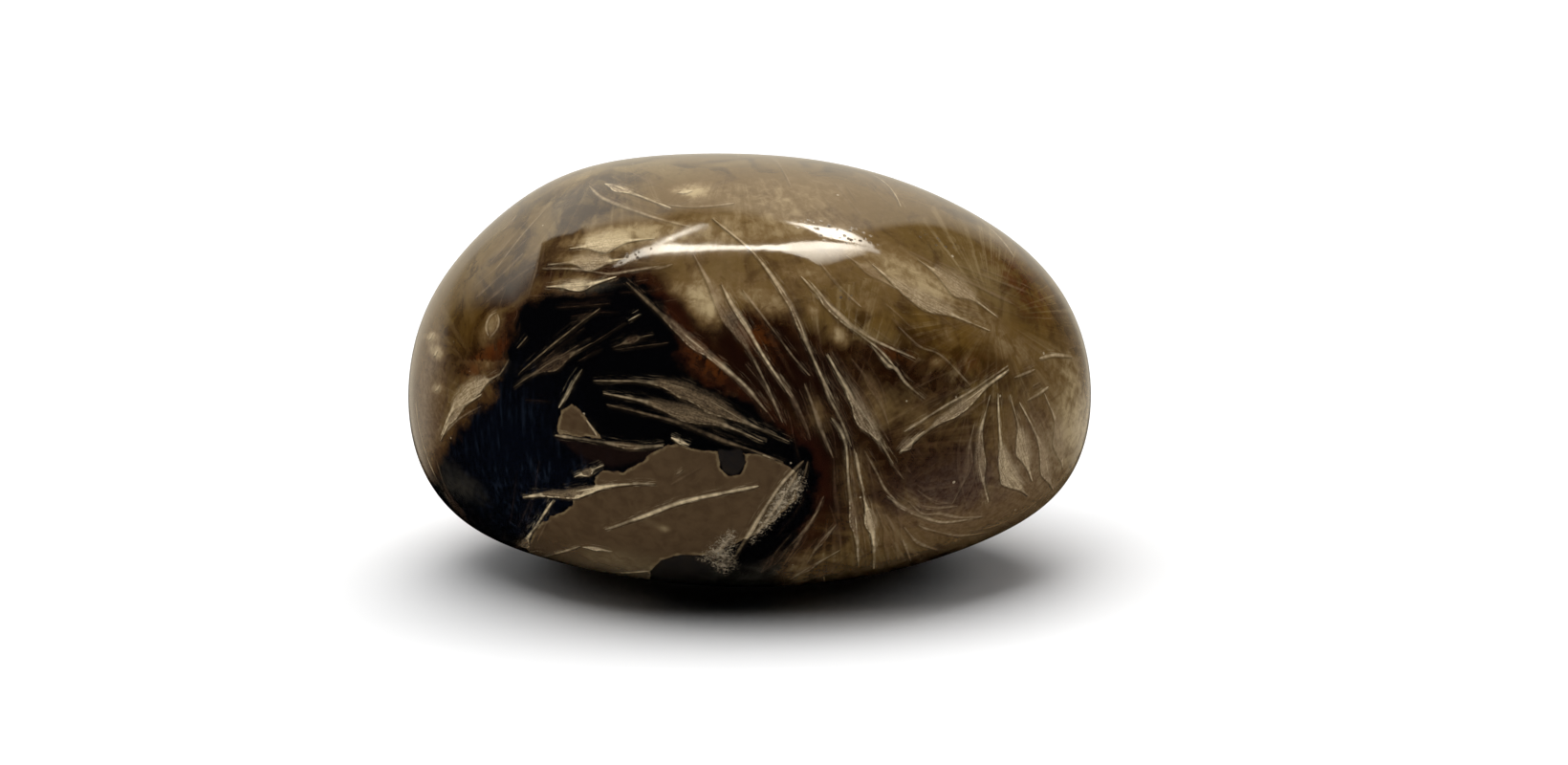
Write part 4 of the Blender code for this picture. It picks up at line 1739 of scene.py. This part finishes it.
def card_share(nodes, x, y, z):
    """How much of the pale card the polish sees in each direction: all of it at 1, and none at 0.

    The card stands behind the stone. Its edge comes forward low on the left, and a dark gap parts the
    rim there from the rest, as the photograph's reflection shows.
    """
    smooth, times = nodes.smooth, nodes.times
    edge = nodes.plus(smooth(x, -0.2, 0.1, -0.02, 0.28), smooth(x, 0.2, 0.55, 0.0, 0.47))
    edge = times(edge, smooth(z, -0.4, -0.1, 0.6, 1.0))
    low_left = nodes.math(
        "MINIMUM",
        nodes.times_plus(nodes.times_plus(z, -1.1, -1.3), z, 0.92),
        smooth(z, 0.0, 0.25, 0.5, 0.92),
    )
    low_left = nodes.mix_value(
        edge, nodes.math("MAXIMUM", low_left, edge), smooth(x, -0.5, -0.35, 1.0, 0.0),
    )
    softness = nodes.plus(
        smooth(x, -0.6, -0.5, 0.22, 0.08), smooth(y, 0.6, 0.85, 0.0, 0.4), smooth(x, 0.62, 0.8, 0.0, 0.3),
    )
    behind = smooth(nodes.minus(y, low_left), times(softness, -0.6), softness)
    right_of_gap = nodes.minus(x, nodes.times_plus(y, 0.3, -0.778))
    gap_top = nodes.times_plus(nodes.math("MAXIMUM", nodes.minus(-0.56, x), 0.0), 1.35, 0.07)
    gap = times(
        smooth(right_of_gap, -0.005, 0.015),
        smooth(nodes.minus(gap_top, y), -0.01, 0.03),
        smooth(x, -0.52, -0.44, 1.0, 0.0),
    )
    return times(behind, nodes.minus(1.0, gap))


def studio_world(settings):
    """White all round, which the polish sees only as a pale card behind the stone."""
    world = bpy.data.worlds.new("studio")
    world.use_nodes = True
    bpy.context.scene.world = world
    nodes = Nodes(world.node_tree)
    world.node_tree.nodes.clear()
    smooth, times = nodes.smooth, nodes.times
    way = nodes.axes(nodes.place("ShaderNodeTexCoord").outputs["Generated"])
    x, y, z = way["X"], way["Y"], way["Z"]
    to_side = nodes.math("ABSOLUTE", x)
    # The card: brighter higher up and on the left, and dark where the floor would hide it.
    level = nodes.plus(
        nodes.times_plus(nodes.math("MAXIMUM", z, 0.0), 1.0, 0.66),
        times(smooth(x, -0.55, 0.1, 1.0, 0.0), smooth(z, 0.35, 0.75)),
    )
    reach_down = nodes.plus(z, smooth(to_side, 0.2, 0.45, 0.0, 0.18))
    level = times(level, smooth(reach_down, -0.32, -0.12))
    card = times(card_share(nodes, x, y, z), level, settings.card)
    # The soft light that only the colours take: a dome, and a low window on either side.
    dome = nodes.plus(
        times(smooth(z, 0.7, 0.9), settings.surround),
        times(
            smooth(to_side, 0.5, 0.7), smooth(z, 0.28, 0.42), smooth(y, -0.3, 0.05), settings.sides,
        ),
    )
    rays = nodes.place("ShaderNodeLightPath").outputs
    strength = nodes.mix_value(dome, card, rays["Is Glossy Ray"])
    strength = nodes.mix_value(strength, SKY_WHITE, rays["Is Camera Ray"])
    colour = nodes.mix((1.0, 1.0, 1.0), CARD_COLOUR, rays["Is Glossy Ray"])
    background = nodes.place("ShaderNodeBackground", {"Color": colour, "Strength": strength})
    output = nodes.place("ShaderNodeOutputWorld")
    nodes.feed(output.inputs["Surface"], background.outputs[0])


def pale_floor(settings):
    """A plain white floor under the stone."""
    half = settings.floor_size / 2
    corners = [(-half, -half, 0), (half, -half, 0), (half, half, 0), (-half, half, 0)]
    mesh = bpy.data.meshes.new("floor")
    mesh.from_pydata(corners, [], [(0, 1, 2, 3)])
    material = bpy.data.materials.new("white_paper")
    material.use_nodes = True
    shader = material.node_tree.nodes["Principled BSDF"]
    shader.inputs["Base Color"].default_value = FLOOR_WHITE
    shader.inputs["Roughness"].default_value = FLOOR_ROUGHNESS
    shader.inputs["Specular IOR Level"].default_value = 0.0
    mesh.materials.append(material)
    floor = stood("floor", mesh)
    floor.visible_glossy = False


def overhead_lamp(settings):
    """The soft lamp over the stone, a little behind it, which throws the shadow forward."""
    light = bpy.data.lights.new("overhead", "AREA")
    light.shape = "RECTANGLE"
    light.size, light.size_y = LAMP_LENGTH, LAMP_WIDTH
    light.energy = settings.overhead
    lamp = stood("overhead", light)
    lamp.location = LAMP_PLACE
    lamp.rotation_euler = (LAMP_TARGET - LAMP_PLACE).to_track_quat("-Z", "Y").to_euler()
    lamp.visible_glossy = False


class Station(NamedTuple):
    """One x of a bright strip in the photograph: its top and bottom, and how bright it is at the top.

    The last value is the share of that brightness which is left at the bottom.
    """

    x: float
    top: float
    bottom: float
    bright: float
    low: float = 1.0


GLINTS = {
    "main band": (
        Station(641, 277.5, 279.5, 0.2), Station(652, 270, 276, 0.35), Station(664, 263, 271, 0.5),
        Station(680, 257, 266.5, 0.7), Station(697, 255.5, 264.5, 1.0), Station(715, 256, 263.5, 1.0),
        Station(740, 256.8, 262, 1.0), Station(765, 257, 260.8, 1.0), Station(790, 257.2, 261, 1.0),
        Station(815, 256.5, 262, 1.0), Station(830, 253.5, 262.5, 0.75), Station(845, 253, 261.5, 0.75),
        Station(870, 253.5, 260, 0.8), Station(893, 255.5, 260.5, 0.6), Station(908, 258, 262, 0.28),
        Station(920, 262, 266, 0.25),
    ),
    "left branch": (
        Station(684, 254.6, 257.5, 0.6), Station(700, 247.6, 252.2, 0.85), Station(715, 241.6, 245.4, 0.85),
        Station(728, 236, 239, 0.85), Station(738, 233.4, 234.6, 0.5),
    ),
    "right branch": (
        Station(822, 231.6, 232.8, 0.3), Station(838, 233.2, 236.5, 0.7), Station(852, 236, 242, 0.9),
        Station(864, 237.5, 248, 1.0), Station(878, 239.5, 251, 1.0), Station(890, 243, 253, 0.8),
        Station(902, 249.5, 256, 0.45), Station(914, 256, 260, 0.3),
    ),
    "right lobe": (
        Station(817, 262, 263, 0.3), Station(830, 262.5, 266, 0.55, 0.6), Station(845, 261.5, 270, 0.6, 0.6),
        Station(858, 260, 278, 0.66, 0.08), Station(872, 260, 276, 0.58, 0.05),
        Station(890, 260.5, 270, 0.42, 0.1), Station(906, 262, 267, 0.2, 0.1),
    ),
}
# How far off the bright cards stand, how bright they are, and how fine their mesh is: pixels from one
# column to the next, and rows in each.
GLINT_DISTANCE = 0.5
GLINT_RADIANCE = 24.0
GLINT_STEP = 4.0
GLINT_ROWS = 4
GLINT_COLOUR = (1.0, 0.93, 0.80)


def mirrored(shell, pixel):
    """The point of the stone at a pixel, and the way in which it mirrors the camera's view."""
    place = shell.seen_at(pixel)
    outward = worn_outward(place, shell.grown_from)
    ray = view_ray(pixel)
    return place, ray - 2 * (ray @ outward) * outward


def lit_card():
    """The glints' own light, as bright as the mesh says at each point."""
    material = bpy.data.materials.new("lit_card")
    material.use_nodes = True
    material.node_tree.nodes.clear()
    nodes = Nodes(material.node_tree)
    colour = nodes.mix((0.0, 0.0, 0.0), GLINT_COLOUR, nodes.value_of("bright"))
    light = nodes.place("ShaderNodeEmission", {"Color": colour, "Strength": GLINT_RADIANCE})
    output = nodes.place("ShaderNodeOutputMaterial")
    nodes.feed(output.inputs["Surface"], light.outputs[0])
    return material


def glint_card(shell):
    """The bright cards over the stone, bent so that the polish mirrors each glint where it was seen."""
    points, bright, squares = [], [], []
    for stations in GLINTS.values():
        stops = np.array(stations)
        count = max(2, round((stops[-1][0] - stops[0][0]) / GLINT_STEP))
        columns = np.linspace(stops[0][0], stops[-1][0], count + 1)
        rest = [np.interp(columns, stops[:, 0], stops[:, side]) for side in range(1, 5)]
        for column, (x, top, bottom, light, low) in enumerate(zip(columns, *rest)):
            for row in range(GLINT_ROWS + 1):
                place, way = mirrored(shell, (x, top + (bottom - top) * row / GLINT_ROWS))
                if column and row:
                    here = len(points)
                    above = here - GLINT_ROWS - 1
                    squares.append((above - 1, above, here, here - 1))
                points.append(place + way * GLINT_DISTANCE)
                bright.append(light * (1 + (low - 1) * row / GLINT_ROWS))
    mesh = bpy.data.meshes.new("glint_card")
    mesh.from_pydata(points, [], squares)
    write_points(mesh, "bright", np.array(bright))
    mesh.materials.append(lit_card())
    card = stood("glint_card", mesh)
    card.visible_camera = False
    card.visible_diffuse = False
    card.visible_shadow = False


def photo_camera(settings):
    """The camera where the photographer stood. Farther off, it zooms in by as much."""
    camera = bpy.data.cameras.new("camera")
    camera.sensor_width = SENSOR_WIDTH
    camera.lens = SENSOR_WIDTH * FOCAL_PIXELS / PHOTO_WIDTH * settings.distance / CAMERA_DISTANCE
    camera.clip_start = CLIP_START
    turned = Matrix((VIEW_RIGHT, VIEW_UP, -VIEW_FORWARD)).transposed().to_4x4()
    turned.translation = Vector(AIM_POINT - VIEW_FORWARD * settings.distance)
    stand = stood("camera", camera)
    stand.matrix_world = turned
    bpy.context.scene.camera = stand


# Operators, panel and registration


class MakeStone(bpy.types.Operator):
    """Grow the pebble, lay its pattern on it and polish it"""

    bl_idname = "tumbled_stone.make_stone"
    bl_label = "Make the stone"

    def execute(self, context):
        settings = context.scene.tumbled_stone
        chance = np.random.default_rng(settings.seed)
        mesh = grown_mesh(settings.squares)
        shell = Shell(mesh)
        spread_blades(mesh, laid_blades(chance, shell))
        spread_clouds(mesh, shell, chance)
        spread_streaks(mesh, shell)
        mesh.materials.append(polished_chert(settings))
        stone = stood("polished_stone", mesh)
        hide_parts("stone")
        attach(stone, "root")
        return {"FINISHED"}


class SetStage(bpy.types.Operator):
    """Lay the floor, light it and stand the camera where the photographer stood"""

    bl_idname = "tumbled_stone.set_stage"
    bl_label = "Set the stage"

    def execute(self, context):
        settings = context.scene.tumbled_stone_stage
        stone = bpy.data.objects.get("polished_stone")
        if stone is None:
            raise RuntimeError("the stage mirrors its lamps in the stone, so the stone is made first")
        context.scene.view_settings.view_transform = "Standard"
        studio_world(settings)
        pale_floor(settings)
        overhead_lamp(settings)
        glint_card(Shell(stone.data))
        photo_camera(settings)
        return {"FINISHED"}


class StonePanel(bpy.types.Panel):
    """Lists the stone's settings and its two operators."""

    bl_idname = "VIEW3D_PT_tumbled_stone"
    bl_label = "Tumbled Stone"
    bl_space_type = "VIEW_3D"
    bl_region_type = "UI"
    bl_category = "Tumbled Stone"

    def draw(self, context):
        for settings, operator in (
            (context.scene.tumbled_stone, MakeStone),
            (context.scene.tumbled_stone_stage, SetStage),
        ):
            box = self.layout.box()
            for name in settings.__annotations__:
                box.prop(settings, name)
            box.operator(operator.bl_idname)


CLASSES = (StoneSettings, StageSettings, MakeStone, SetStage, StonePanel)


def register():
    for item in CLASSES:
        bpy.utils.register_class(item)
    bpy.types.Scene.tumbled_stone = PointerProperty(type=StoneSettings)
    bpy.types.Scene.tumbled_stone_stage = PointerProperty(type=StageSettings)


def unregister():
    del bpy.types.Scene.tumbled_stone_stage
    del bpy.types.Scene.tumbled_stone
    for item in reversed(CLASSES):
        bpy.utils.unregister_class(item)


def main():
    register()
    bpy.ops.tumbled_stone.make_stone()
    bpy.ops.tumbled_stone.set_stage()


if __name__ == "__main__":
    main()
